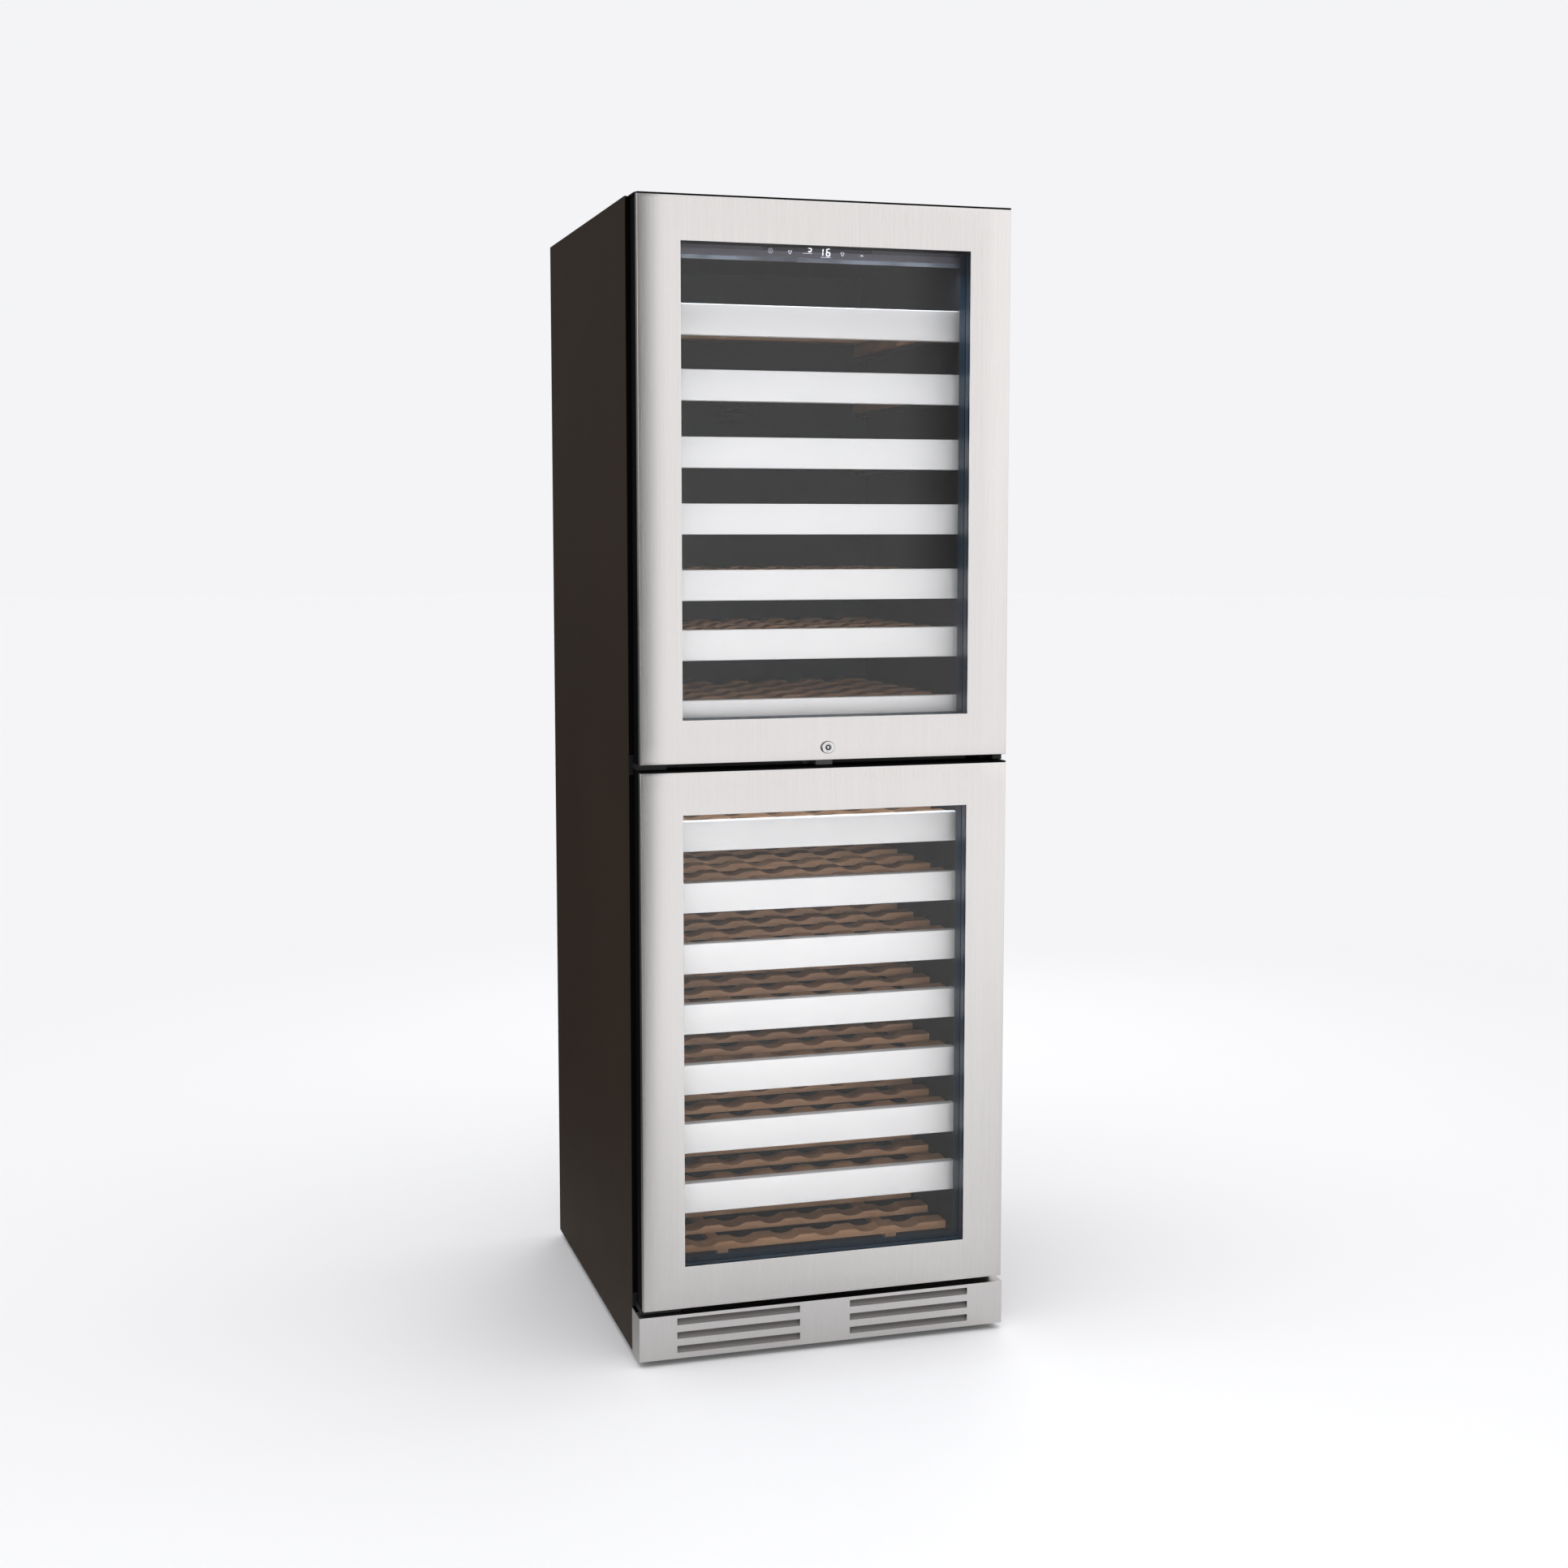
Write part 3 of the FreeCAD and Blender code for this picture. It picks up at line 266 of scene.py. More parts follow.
def rubber(name, color):
    """Soft extruded seal: matt, dusty and faintly ribbed along its length."""
    surface = Surface(name, color, Roughness=0.62)
    dust = surface.noise((1, 1, 1), 60, 5)
    rib = surface.noise((1, 1, 1), 1500, 2)
    surface.feed("Base Color", surface.ramp(dust, (0.35, color), (0.75, shade(color, 1.7))))
    surface.feed("Roughness", surface.range(dust, 0.52, 0.74))
    surface.bump(rib, 0.2, 0.0001)
    return surface.material


def polished(name, color, roughness=0.12):
    """Plated metal with hairline handling marks."""
    surface = Surface(name, color, Metallic=1.0, Roughness=roughness)
    marks = surface.noise((1, 1, 0.2), 1200, 3)
    surface.feed("Base Color", surface.ramp(marks, (0.3, shade(color, 0.93)), (0.7, color)))
    surface.feed("Roughness", surface.range(marks, roughness - 0.04, roughness + 0.1))
    surface.bump(marks, 0.05, 0.00004)
    return surface.material


def raw_metal(name, color, roughness=0.4):
    """Bare tube or fin stock with mill marks and slight tarnish."""
    surface = Surface(name, color, Metallic=1.0, Roughness=roughness)
    tarnish = surface.noise((1, 1, 1), 35, 5, 0.65)
    surface.feed("Base Color", surface.ramp(tarnish, (0.3, shade(color, 0.66)), (0.65, color)))
    surface.feed("Roughness", surface.range(tarnish, roughness + 0.15, roughness - 0.08))
    surface.bump(tarnish, 0.08, 0.0002)
    return surface.material


def foam(name):
    """Rigid insulation foam: pale yellow closed cells."""
    color = (0.80, 0.70, 0.44)
    surface = Surface(name, color, Roughness=0.9)
    cells = surface.noise((1, 1, 1), 700, 3)
    surface.feed("Base Color", surface.ramp(cells, (0.3, shade(color, 0.8)), (0.7, color)))
    surface.bump(cells, 0.5, 0.0006)
    return surface.material


def light_diffuser(name, color, strength):
    """Frosted lens over a row of light diodes, with pools of light along it."""
    surface = Surface(name, (0.10, 0.11, 0.14), Roughness=0.3, Emission_Strength=strength)
    pools = surface.noise((1, 0.01, 0.01), 19, 1, 0.3)
    surface.feed("Emission Color", surface.ramp(pools, (0.36, shade(color, 0.07)),
                                                (0.5, shade(color, 0.45)), (0.62, color)))
    surface.feed("Roughness", surface.range(pools, 0.25, 0.4))
    return surface.material


def lit_print(name, color, strength):
    """Back-lit symbols printed on the display window."""
    surface = Surface(name, color, Roughness=0.4, Emission_Strength=strength)
    spread = surface.noise((1, 1, 1), 2200, 2)
    surface.feed("Emission Color", surface.ramp(spread, (0.3, shade(color, 0.85)), (0.7, color)))
    return surface.material


def pale_floor(name):
    """Even pale paper as the camera sees it. What other rays see of it carries painted shade:
    darker close to the object, behind it and beside its left side.
    """
    material = bpy.data.materials.new(name)
    material.use_nodes = True
    nodes, links = material.node_tree.nodes, material.node_tree.links
    nodes.clear()
    seen = nodes.new("ShaderNodeBsdfDiffuse")
    seen.inputs["Color"].default_value = (0.9, 0.9, 0.915, 1)
    painted_shade_bounce = nodes.new("ShaderNodeBsdfDiffuse")
    place = nodes.new("ShaderNodeTexCoord")
    reach = nodes.new("ShaderNodeVectorMath")
    reach.operation = "LENGTH"
    links.new(place.outputs["Object"], reach.inputs[0])
    split = nodes.new("ShaderNodeSeparateXYZ")
    links.new(place.outputs["Object"], split.inputs["Vector"])

    def remap(value, start, end, low, high):
        node = nodes.new("ShaderNodeMapRange")
        node.inputs["From Min"].default_value = start
        node.inputs["From Max"].default_value = end
        node.inputs["To Min"].default_value = low
        node.inputs["To Max"].default_value = high
        links.new(value, node.inputs["Value"])
        return node.outputs["Result"]

    # painted shade: the colour other rays see darkens near the object, behind it and beside its
    # left side
    near = remap(reach.outputs["Value"], 0.4, 4.0, 0.56, 0.92)
    behind = remap(split.outputs["Y"], -0.3, 1.2, 1.0, 0.25)
    left = remap(split.outputs["X"], -0.62, -0.27, 0.22, 1.0)
    level = near
    for share in (behind, left):
        both = nodes.new("ShaderNodeMath")
        both.operation = "MULTIPLY"
        links.new(level, both.inputs[0])
        links.new(share, both.inputs[1])
        level = both.outputs["Value"]
    links.new(level, painted_shade_bounce.inputs["Color"])
    path = nodes.new("ShaderNodeLightPath")
    either = nodes.new("ShaderNodeMixShader")
    output = nodes.new("ShaderNodeOutputMaterial")
    links.new(path.outputs["Is Camera Ray"], either.inputs["Fac"])
    links.new(painted_shade_bounce.outputs["BSDF"], either.inputs[1])
    links.new(seen.outputs["BSDF"], either.inputs[2])
    links.new(either.outputs["Shader"], output.inputs["Surface"])
    return material


DOOR_STEEL = {zone: brushed_steel(zone + "_door_steel", (0.875, 0.85, 0.84),
                                  face=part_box(zone + "_door_skin")) for zone in ZONES}
PLINTH_STEEL = brushed_steel("plinth_steel", (0.88, 0.855, 0.85), 0.3)
# painted shade: a dark grey that stands in for the shade inside the plinth's slots and on its
# inner side
LOUVRE_SHADE_GREY = painted_steel("louvre_painted_shade", (0.19, 0.18, 0.175), 0.5, 0.05)
SIDE_PAINT = painted_steel("cabinet_paint", (0.051, 0.036, 0.026), 0.5, 0.12, 0.08)
BLACK_PAINT = painted_steel("black_paint", (0.012, 0.012, 0.013), 0.45)
REAR_PAINT = painted_steel("rear_paint", (0.045, 0.045, 0.047), 0.45, gloss=0.5)
GAP_GREY = painted_steel("frame_grey", (0.034, 0.032, 0.032), 0.5)
STRIKE_GREY = painted_steel("strike_grey", (0.10, 0.097, 0.098), 0.4)
CARCASS = moulded_plastic("carcass_plastic", (0.003, 0.003, 0.0035), 0.5, gloss=0.04)
REVEAL = moulded_plastic("reveal_navy", (0.010, 0.026, 0.045), 0.4, 0.1, gloss=0.2)
LINER = moulded_plastic("liner_plastic", (0.016, 0.0165, 0.02), 0.45, gloss=0.2)
PANEL = moulded_plastic("panel_plastic", (0.085, 0.082, 0.105), 0.4, 0.12)
PANEL_LIGHT = moulded_plastic("panel_lip_plastic", (0.15, 0.145, 0.18), 0.35, 0.1)
FAN = moulded_plastic("fan_plastic", (0.02, 0.02, 0.02), 0.5)
FEET = moulded_plastic("foot_plastic", (0.02, 0.02, 0.02), 0.65)
INLET = moulded_plastic("inlet_plastic", (0.015, 0.015, 0.015), 0.4)
FASCIA = satin_aluminium("fascia_aluminium", (0.90, 0.885, 0.885))
SLAT_WOOD = beech("slat_beech", "x")
SIDE_WOOD = beech("side_beech", "y")
GLASS = clear_glass("door_glass", (0.968, 0.97, 0.972))
DISPLAY = painted_steel("display_glass", (0.06, 0.058, 0.075), 0.15, 0.01)
SPACER = moulded_plastic("spacer_navy", (0.012, 0.030, 0.052), 0.35, 0.1)
RUBBER = rubber("seal_rubber", (0.012, 0.012, 0.013))
CHROME = polished("lock_chrome", (0.86, 0.86, 0.865))
SCREW = polished("screw_steel", (0.45, 0.45, 0.46), 0.28)
COPPER = raw_metal("copper_tube", (0.72, 0.36, 0.22))
COIL = raw_metal("coil_aluminium", (0.72, 0.73, 0.74))
FOAM = foam("insulation_foam")
LED = light_diffuser("led_lens", (0.62, 0.76, 0.95), 0.22)
PRINT = lit_print("display_print", (0.92, 0.93, 1.0), 1.3)
FAINT_PRINT = lit_print("display_faint_print", (0.85, 0.86, 1.0), 0.55)


# ---------------------------------------------------------------- mesh helpers
def new_piece(name, mesh, material, body, sharp=35):
    """Put a finished mesh in the scene as a piece that rides on a body."""
    piece = bpy.data.objects.new(name, mesh)
    bpy.context.scene.collection.objects.link(piece)
    mesh.polygons.foreach_set("use_smooth", [True] * len(mesh.polygons))
    mesh.set_sharp_from_angle(angle=math.radians(sharp))
    mesh.materials.append(material)
    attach(piece, body)
    return piece


def mesh_from(name, build):
    """A mesh made by build(bmesh), with its normals turned outwards."""
    mesh = bpy.data.meshes.new(name)
    bm = bmesh.new()
    build(bm)
    bmesh.ops.remove_doubles(bm, verts=bm.verts, dist=1e-6)
    bmesh.ops.recalc_face_normals(bm, faces=bm.faces)
    bm.to_mesh(mesh)
    bm.free()
    return mesh


def skin_loops(bm, loops, closed=False):
    """Quads between loops of equal length; closed joins the last loop to the first."""
    rings = [[bm.verts.new(point) for point in loop] for loop in loops]
    pairs = list(zip(rings, rings[1:])) + ([(rings[-1], rings[0])] if closed else [])
    for first, second in pairs:
        count = len(first)
        for i in range(count):
            j = (i + 1) % count
            bm.faces.new((first[i], first[j], second[j], second[i]))
    return rings


def rectangle_loop(low, high, inset, depth):
    """Four corners of a front-facing rectangle, inset from a box and depth behind its front."""
    left, right = low.x + inset, high.x - inset
    bottom, top = low.z + inset, high.z - inset
    y = low.y + depth
    return [(left, y, bottom), (right, y, bottom), (right, y, top), (left, y, top)]


def rectangular_ring(name, low, high, profile):
    """A mitred frame: profile is a closed list of (inset, depth) points."""
    def build(bm):
        skin_loops(bm, [rectangle_loop(low, high, inset, depth) for inset, depth in profile],
                   closed=True)
    return mesh_from(name, build)


def quarter(centre_inset, centre_depth, radius, start, steps=4, sweep=90):
    """Points on an arc in (inset, depth), angles in degrees from +inset towards +depth."""
    points = []
    for i in range(steps + 1):
        angle = math.radians(start + sweep * i / steps)
        points.append((centre_inset + radius * math.cos(angle),
                       centre_depth + radius * math.sin(angle)))
    return points


def soften(node, width, segments=2):
    """Round the edges of a CAD node with modifiers, leaving its mesh alone."""
    piece = NODES[node]
    weld = piece.modifiers.new("join_seams", "WELD")
    weld.merge_threshold = 1e-5
    bevel = piece.modifiers.new("round_edges", "BEVEL")
    bevel.width = width
    bevel.segments = segments
    bevel.limit_method = "ANGLE"
    bevel.angle_limit = math.radians(40)
    bevel.use_clamp_overlap = True
    bevel.harden_normals = False


def dress(material, *names):
    for name in names:
        slots = NODES[name].data.materials
        slots.clear()
        slots.append(material)


# ---------------------------------------------------------------- CAD nodes' materials
def dress_nodes():
    dress(SIDE_PAINT, "outer_wrap")
    dress(REAR_PAINT, "back_panel", "rear_service_cover")
    dress(BLACK_PAINT, "base_pan", "compressor", "fan_motors",
          "top_hinge_bracket", "middle_hinge_bracket", "bottom_hinge_bracket",
          "door_rest_bracket")
    dress(CARCASS, "front_frame", "upper_door_frame", "lower_door_frame")
    dress(LINER, "upper_liner", "lower_liner", "upper_duct_cover", "lower_duct_cover",
          "shelf_runners")
    dress(PLINTH_STEEL, "plinth_grille")
    dress(STRIKE_GREY, "lock_strike")
    dress(PANEL, "control_panel")
    dress(DISPLAY, "display_window")
    dress(LED, "led_strips")
    dress(GLASS, "upper_door_glass", "lower_door_glass")
    dress(SPACER, "upper_door_spacer", "lower_door_spacer")
    dress(FOAM, "insulation_foam")
    dress(COPPER, "refrigerant_pipes")
    dress(COIL, "evaporators", "condenser")
    dress(FAN, "upper_fan", "lower_fan", "condenser_fan")
    dress(CHROME, "lock_body", "lock_cylinder")
    dress(FEET, "foot_front_left", "foot_front_right", "foot_rear_left", "foot_rear_right")
    dress(INLET, "power_inlet")
    dress(SLAT_WOOD, "floor_rack")
    for zone in ZONES:
        for number in range(1, SHELF_COUNT + 1):
            dress_rack("%s_shelf_%d" % (zone, number))
    for name in ("outer_wrap", "plinth_grille", "upper_door_frame", "lower_door_frame",
                 "front_frame", "middle_hinge_bracket", "bottom_hinge_bracket",
                 "door_rest_bracket", "lock_strike", "control_panel", "rear_service_cover"):
        soften(name, 0.5 * MM)


def recolor(name, material, chosen):
    """Give the faces of a CAD node that chosen(face) picks out a second material."""
    mesh = NODES[name].data
    mesh.materials.append(material)
    for face in mesh.polygons:
        if chosen(face):
            face.material_index = len(mesh.materials) - 1


def dress_reveals():
    """Navy inner walls of the door windows."""
    for zone in ZONES:
        low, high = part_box(zone + "_door_skin")
        edges = (low.x + RAIL, high.x - RAIL, low.z + RAIL, high.z - RAIL)
        near = 0.1 * MM

        def is_reveal(face):
            place, out = face.center, face.normal
            beside = min(abs(place.x - edges[0]), abs(place.x - edges[1])) < near
            across = min(abs(place.z - edges[2]), abs(place.z - edges[3])) < near
            return (beside and abs(out.x) > 0.9) or (across and abs(out.z) > 0.9)

        recolor(zone + "_door_frame", REVEAL, is_reveal)
        if zone == "upper":
            recolor(zone + "_door_frame", PANEL,
                    lambda face: is_reveal(face) and abs(face.center.z - edges[3]) < near)


def dress_louvres():
    """Painted shade: a dark grey on the blades and walls inside the plinth's slots and on its
    inner side, where its steel lies in shade.
    """
    low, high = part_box("plinth_grille")

    def is_in_painted_shade(face):
        place = face.center
        shell = (abs(place.x) > high.x - 2 * MM or place.y < low.y + 0.3 * MM
                 or place.z > high.z - 0.1 * MM or place.z < low.z + 0.1 * MM)
        inward = face.normal.y > 0.5 or face.normal.x * place.x < -0.5 * abs(place.x)
        return inward or (not shell and place.y > low.y + 0.3 * MM)

    recolor("plinth_grille", LOUVRE_SHADE_GREY, is_in_painted_shade)


# a rack's faces this far below its top and this far behind its front are its side rails'
SIDE_RAILS_BELOW = 14.1 * MM
SIDE_RAILS_BEHIND = 17 * MM


def dress_rack(name):
    """Wood on a rack: its side rails' grain runs front to back, its slats' from side to side."""
    dress(SLAT_WOOD, name)
    mesh = NODES[name].data
    mesh.materials.append(SIDE_WOOD)
    low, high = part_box(name)
    rail_top, rail_front = high.z - SIDE_RAILS_BELOW, low.y + SIDE_RAILS_BEHIND
    for face in mesh.polygons:
        if face.center.z < rail_top and face.center.y > rail_front:
            face.material_index = 1
    soften(name, 0.8 * MM)


# ---------------------------------------------------------------- doors
SHEET = 1.1 * MM
RAIL = 65.5 * MM


def door_skin(zone):
    """Pressed steel frame: rounded folded outer edge and a crisp, slightly turned window edge."""
    node = zone + "_door_skin"
    low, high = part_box(node)
    lip = high.y - low.y
    edge, fold = 1.0 * MM, 0.6 * MM
    crown, drop = 45 * MM, 0.6 * MM

    def fall(inset):
        return drop * (1 - inset / crown) ** 2

    profile = [(0, lip)] + quarter(edge, edge + fall(edge), edge, 180, 5)
    profile += [(crown * i / 8, fall(crown * i / 8)) for i in range(1, 9)]
    profile += quarter(RAIL - fold, fold, fold, 270, 4)
    profile += [(RAIL, SHEET + 0.15 * MM), (RAIL - 0.8 * MM, SHEET + 0.15 * MM),
                (RAIL - 0.8 * MM, SHEET), (SHEET + 0.3 * MM, SHEET),
                (SHEET, SHEET + 0.3 * MM), (SHEET, lip)]
    mesh = rectangular_ring(node + "_pressed", low, high, profile)
    piece = new_piece(node + "_pressed", mesh, DOOR_STEEL[zone], zone + "_door",
                      sharp=30)
    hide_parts(node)


def door_gasket(zone):
    """Magnetic seal: a flat magnet face on a folded bellows."""
    node = zone + "_door_gasket"
    low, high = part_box(node)
    width, depth = 14 * MM, high.y - low.y
    folds = 3
    outer, inner = [], []
    for i in range(folds * 2 + 1):
        y = depth * 0.72 * i / (folds * 2)
        pinch = 1.6 * MM if i % 2 else 0.0
        outer.append((1.2 * MM + pinch, y))
        inner.append((width - 1.2 * MM - pinch, y))
    nose = [(0.4 * MM, depth * 0.76), (0, depth * 0.86), (0.6 * MM, depth * 0.97),
            (1.6 * MM, depth), (width - 1.6 * MM, depth), (width - 0.6 * MM, depth * 0.97),
            (width, depth * 0.86), (width - 0.4 * MM, depth * 0.76)]
    profile = outer + nose + list(reversed(inner))
    mesh = rectangular_ring(node + "_bellows", low, high, profile)
    piece = new_piece(node + "_bellows", mesh, RUBBER, zone + "_door", sharp=50)
    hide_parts(node)


# ---------------------------------------------------------------- racks' fascias
FASCIA_HEIGHT = 46.5 * MM


def fascia(zone, number):
    """Satin aluminium profile that wraps the rack's wooden front rail."""
    node = "%s_shelf_%d" % (zone, number)
    low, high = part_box(node)
    bottom = high.z - FASCIA_HEIGHT
    wall, over, radius = 0.9 * MM, 0.25 * MM, 1.4 * MM
    back = 16 * MM
    front = low.y - over
    top, under = high.z + over, bottom - over

    def arc(y, z, size, start):
        return [(y + size * math.cos(math.radians(start + 90 * i / 4)),
                 z + size * math.sin(math.radians(start + 90 * i / 4))) for i in range(5)]

    outline = [(front + back, top)]
    outline += arc(front + radius, top - radius, radius, 90)
    outline += arc(front + radius, under + radius, radius, 180)
    outline += [(front + back, under), (front + back, under + wall)]
    outline += [(front + radius, under + wall), (front + wall, under + radius)]
    outline += [(front + wall, top - radius), (front + radius, top - wall),
                (front + back, top - wall)]
    side = 0.3 * MM

    def build(bm):
        rings = skin_loops(bm, [[(x, y, z) for y, z in outline]
                                for x in (low.x - side, high.x + side)])
        for ring in rings:
            bm.faces.new(ring)

    mesh = mesh_from(node + "_fascia", build)
    body = "%s_rack_%d" % (zone, number)
    new_piece(node + "_fascia", mesh, FASCIA, body, sharp=40)


# ---------------------------------------------------------------- control panel
# segments lit for each figure, as (x0, z0, x1, z1) on a one-by-two grid
SEGMENTS = {"top": (0, 2, 1, 2), "upper_left": (0, 1, 0, 2), "upper_right": (1, 1, 1, 2),
            "middle": (0, 1, 1, 1), "lower_left": (0, 0, 0, 1), "lower_right": (1, 0, 1, 1),
            "bottom": (0, 0, 1, 0)}
FIGURES = {
    "1": ("upper_right", "lower_right"),
    "5": ("top", "upper_left", "middle", "lower_right", "bottom"),
    "6": ("top", "upper_left", "middle", "lower_left", "lower_right", "bottom"),
}


def stroke(bm, start, end, width, y, depth=0.12 * MM):
    """A thin raised bar with pointed ends between two (x, z) points."""
    a, b = Vector(start), Vector(end)
    along = (b - a).normalized()
    side = Vector((-along.y, along.x)) * width / 2
    tip = along * width * 0.5
    corners = [a, a + tip + side, b - tip + side, b, b - tip - side, a + tip - side]
    rings = skin_loops(bm, [[(c.x, y, c.y) for c in corners],
                            [(c.x, y - depth, c.y) for c in corners]])
    for ring in rings:
        bm.faces.new(ring)


def ring_strokes(bm, centre, radius, width, y, steps=20):
    points = [(centre[0] + radius * math.cos(2 * math.pi * i / steps),
               centre[1] + radius * math.sin(2 * math.pi * i / steps)) for i in range(steps)]
    for i in range(steps):
        stroke(bm, points[i - 1], points[i], width, y)


def symbol(name, build, material=PRINT):
    new_piece("display_" + name, mesh_from("display_" + name, build), material, "cabinet")


def control_print():
    """Back-lit figures and plain symbols: two set temperatures, their arrows, power and lamp."""
    low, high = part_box("control_panel")
    y = low.y - 0.6 * MM
    base = low.z

    def figure(bm, character, x, z, width, height, lean=0.08):
        for segment in FIGURES[character]:
            x0, z0, x1, z1 = SEGMENTS[segment]
            gap = 0.1 * MM
            start = Vector((x + x0 * width, z + z0 * height / 2))
            end = Vector((x + x1 * width, z + z1 * height / 2))
            inward = (end - start).normalized() * gap
            start, end = start + inward, end - inward
            start.x += (start.y - z) * lean
            end.x += (end.y - z) * lean
            stroke(bm, start, end, 1.7 * MM, y)

    lip_low, lip_high = base + 0.4 * MM, base + 9.2 * MM

    def lip(bm):
        outline = [(low.y + 1 * MM, lip_low), (low.y - 0.3 * MM, lip_low),
                   (low.y - 0.55 * MM, lip_low + 0.6 * MM), (low.y - 0.02 * MM, lip_high),
                   (low.y + 1 * MM, lip_high)]
        rings = skin_loops(bm, [[(x, py, pz) for py, pz in outline]
                                for x in (low.x + 1 * MM, high.x - 1 * MM)])
        for ring in rings:
            bm.faces.new(ring)

    new_piece("control_panel_lip", mesh_from("control_panel_lip", lip), PANEL_LIGHT, "cabinet",
              sharp=20)

    digit_w, digit_h = 5.2 * MM, 10.6 * MM
    symbol("figure_left", lambda bm: figure(bm, "5", -11 * MM, base + 9.6 * MM,
                                            digit_w, digit_h))
    symbol("figure_right_tens", lambda bm: figure(bm, "1", 7.4 * MM, base + 4.2 * MM,
                                                  digit_w, digit_h))
    symbol("figure_right_units", lambda bm: figure(bm, "6", 18.6 * MM, base + 4.2 * MM,
                                                   digit_w, digit_h))

    def power(bm):
        centre = (-70 * MM, base + 9 * MM)
        ring_strokes(bm, centre, 3.4 * MM, 0.75 * MM, y)
        stroke(bm, (centre[0], centre[1] - 1.2 * MM), (centre[0], centre[1] + 1.4 * MM),
               0.8 * MM, y)

    symbol("power", power, FAINT_PRINT)

    def arrow(x, z):
        def build(bm):
            corners = [(x - 3 * MM, z + 2.4 * MM), (x + 3 * MM, z + 2.4 * MM), (x, z - 2.8 * MM)]
            for i in range(3):
                stroke(bm, corners[i - 1], corners[i], 0.8 * MM, y)
        return build

    symbol("arrow_left", arrow(-39.5 * MM, base + 7.5 * MM), FAINT_PRINT)
    symbol("arrow_right", arrow(44.3 * MM, base + 7.3 * MM), FAINT_PRINT)

    def lamp_symbol(bm):
        x, z = 75.4 * MM, base + 6.2 * MM
        for dx, rise in ((-2.2, 0.6), (-1.1, 1.5), (0, 1.9), (1.1, 1.5), (2.2, 0.6)):
            stroke(bm, (x + dx * MM, z - 1.2 * MM), (x + dx * MM, z + rise * MM), 1.1 * MM, y)

    symbol("lamp", lamp_symbol, FAINT_PRINT)

    def underlines(x0, x1, z):
        def build(bm):
            stroke(bm, (x0, z), (x1, z), 0.7 * MM, y)
        return build

    symbol("underline_left", underlines(-19 * MM, -4 * MM, base + 7.0 * MM), FAINT_PRINT)
    symbol("underline_right", underlines(9.5 * MM, 25.5 * MM, base + 1.9 * MM), FAINT_PRINT)


# ---------------------------------------------------------------- lock
def lathe(name, centre, profile, stretch_x=1.0, steps=64):
    """Revolve (radius, y) points about the Y axis through centre, with closed ends."""
    def build(bm):
        loops = []
        for radius, y in profile:
            loops.append([(centre.x + radius * stretch_x * math.cos(2 * math.pi * i / steps), y,
                           centre.z + radius * math.sin(2 * math.pi * i / steps))
                          for i in range(steps)])
        rings = skin_loops(bm, loops)
        for ring in (rings[0], rings[-1]):
            bm.faces.new(ring)
    return mesh_from(name, build)


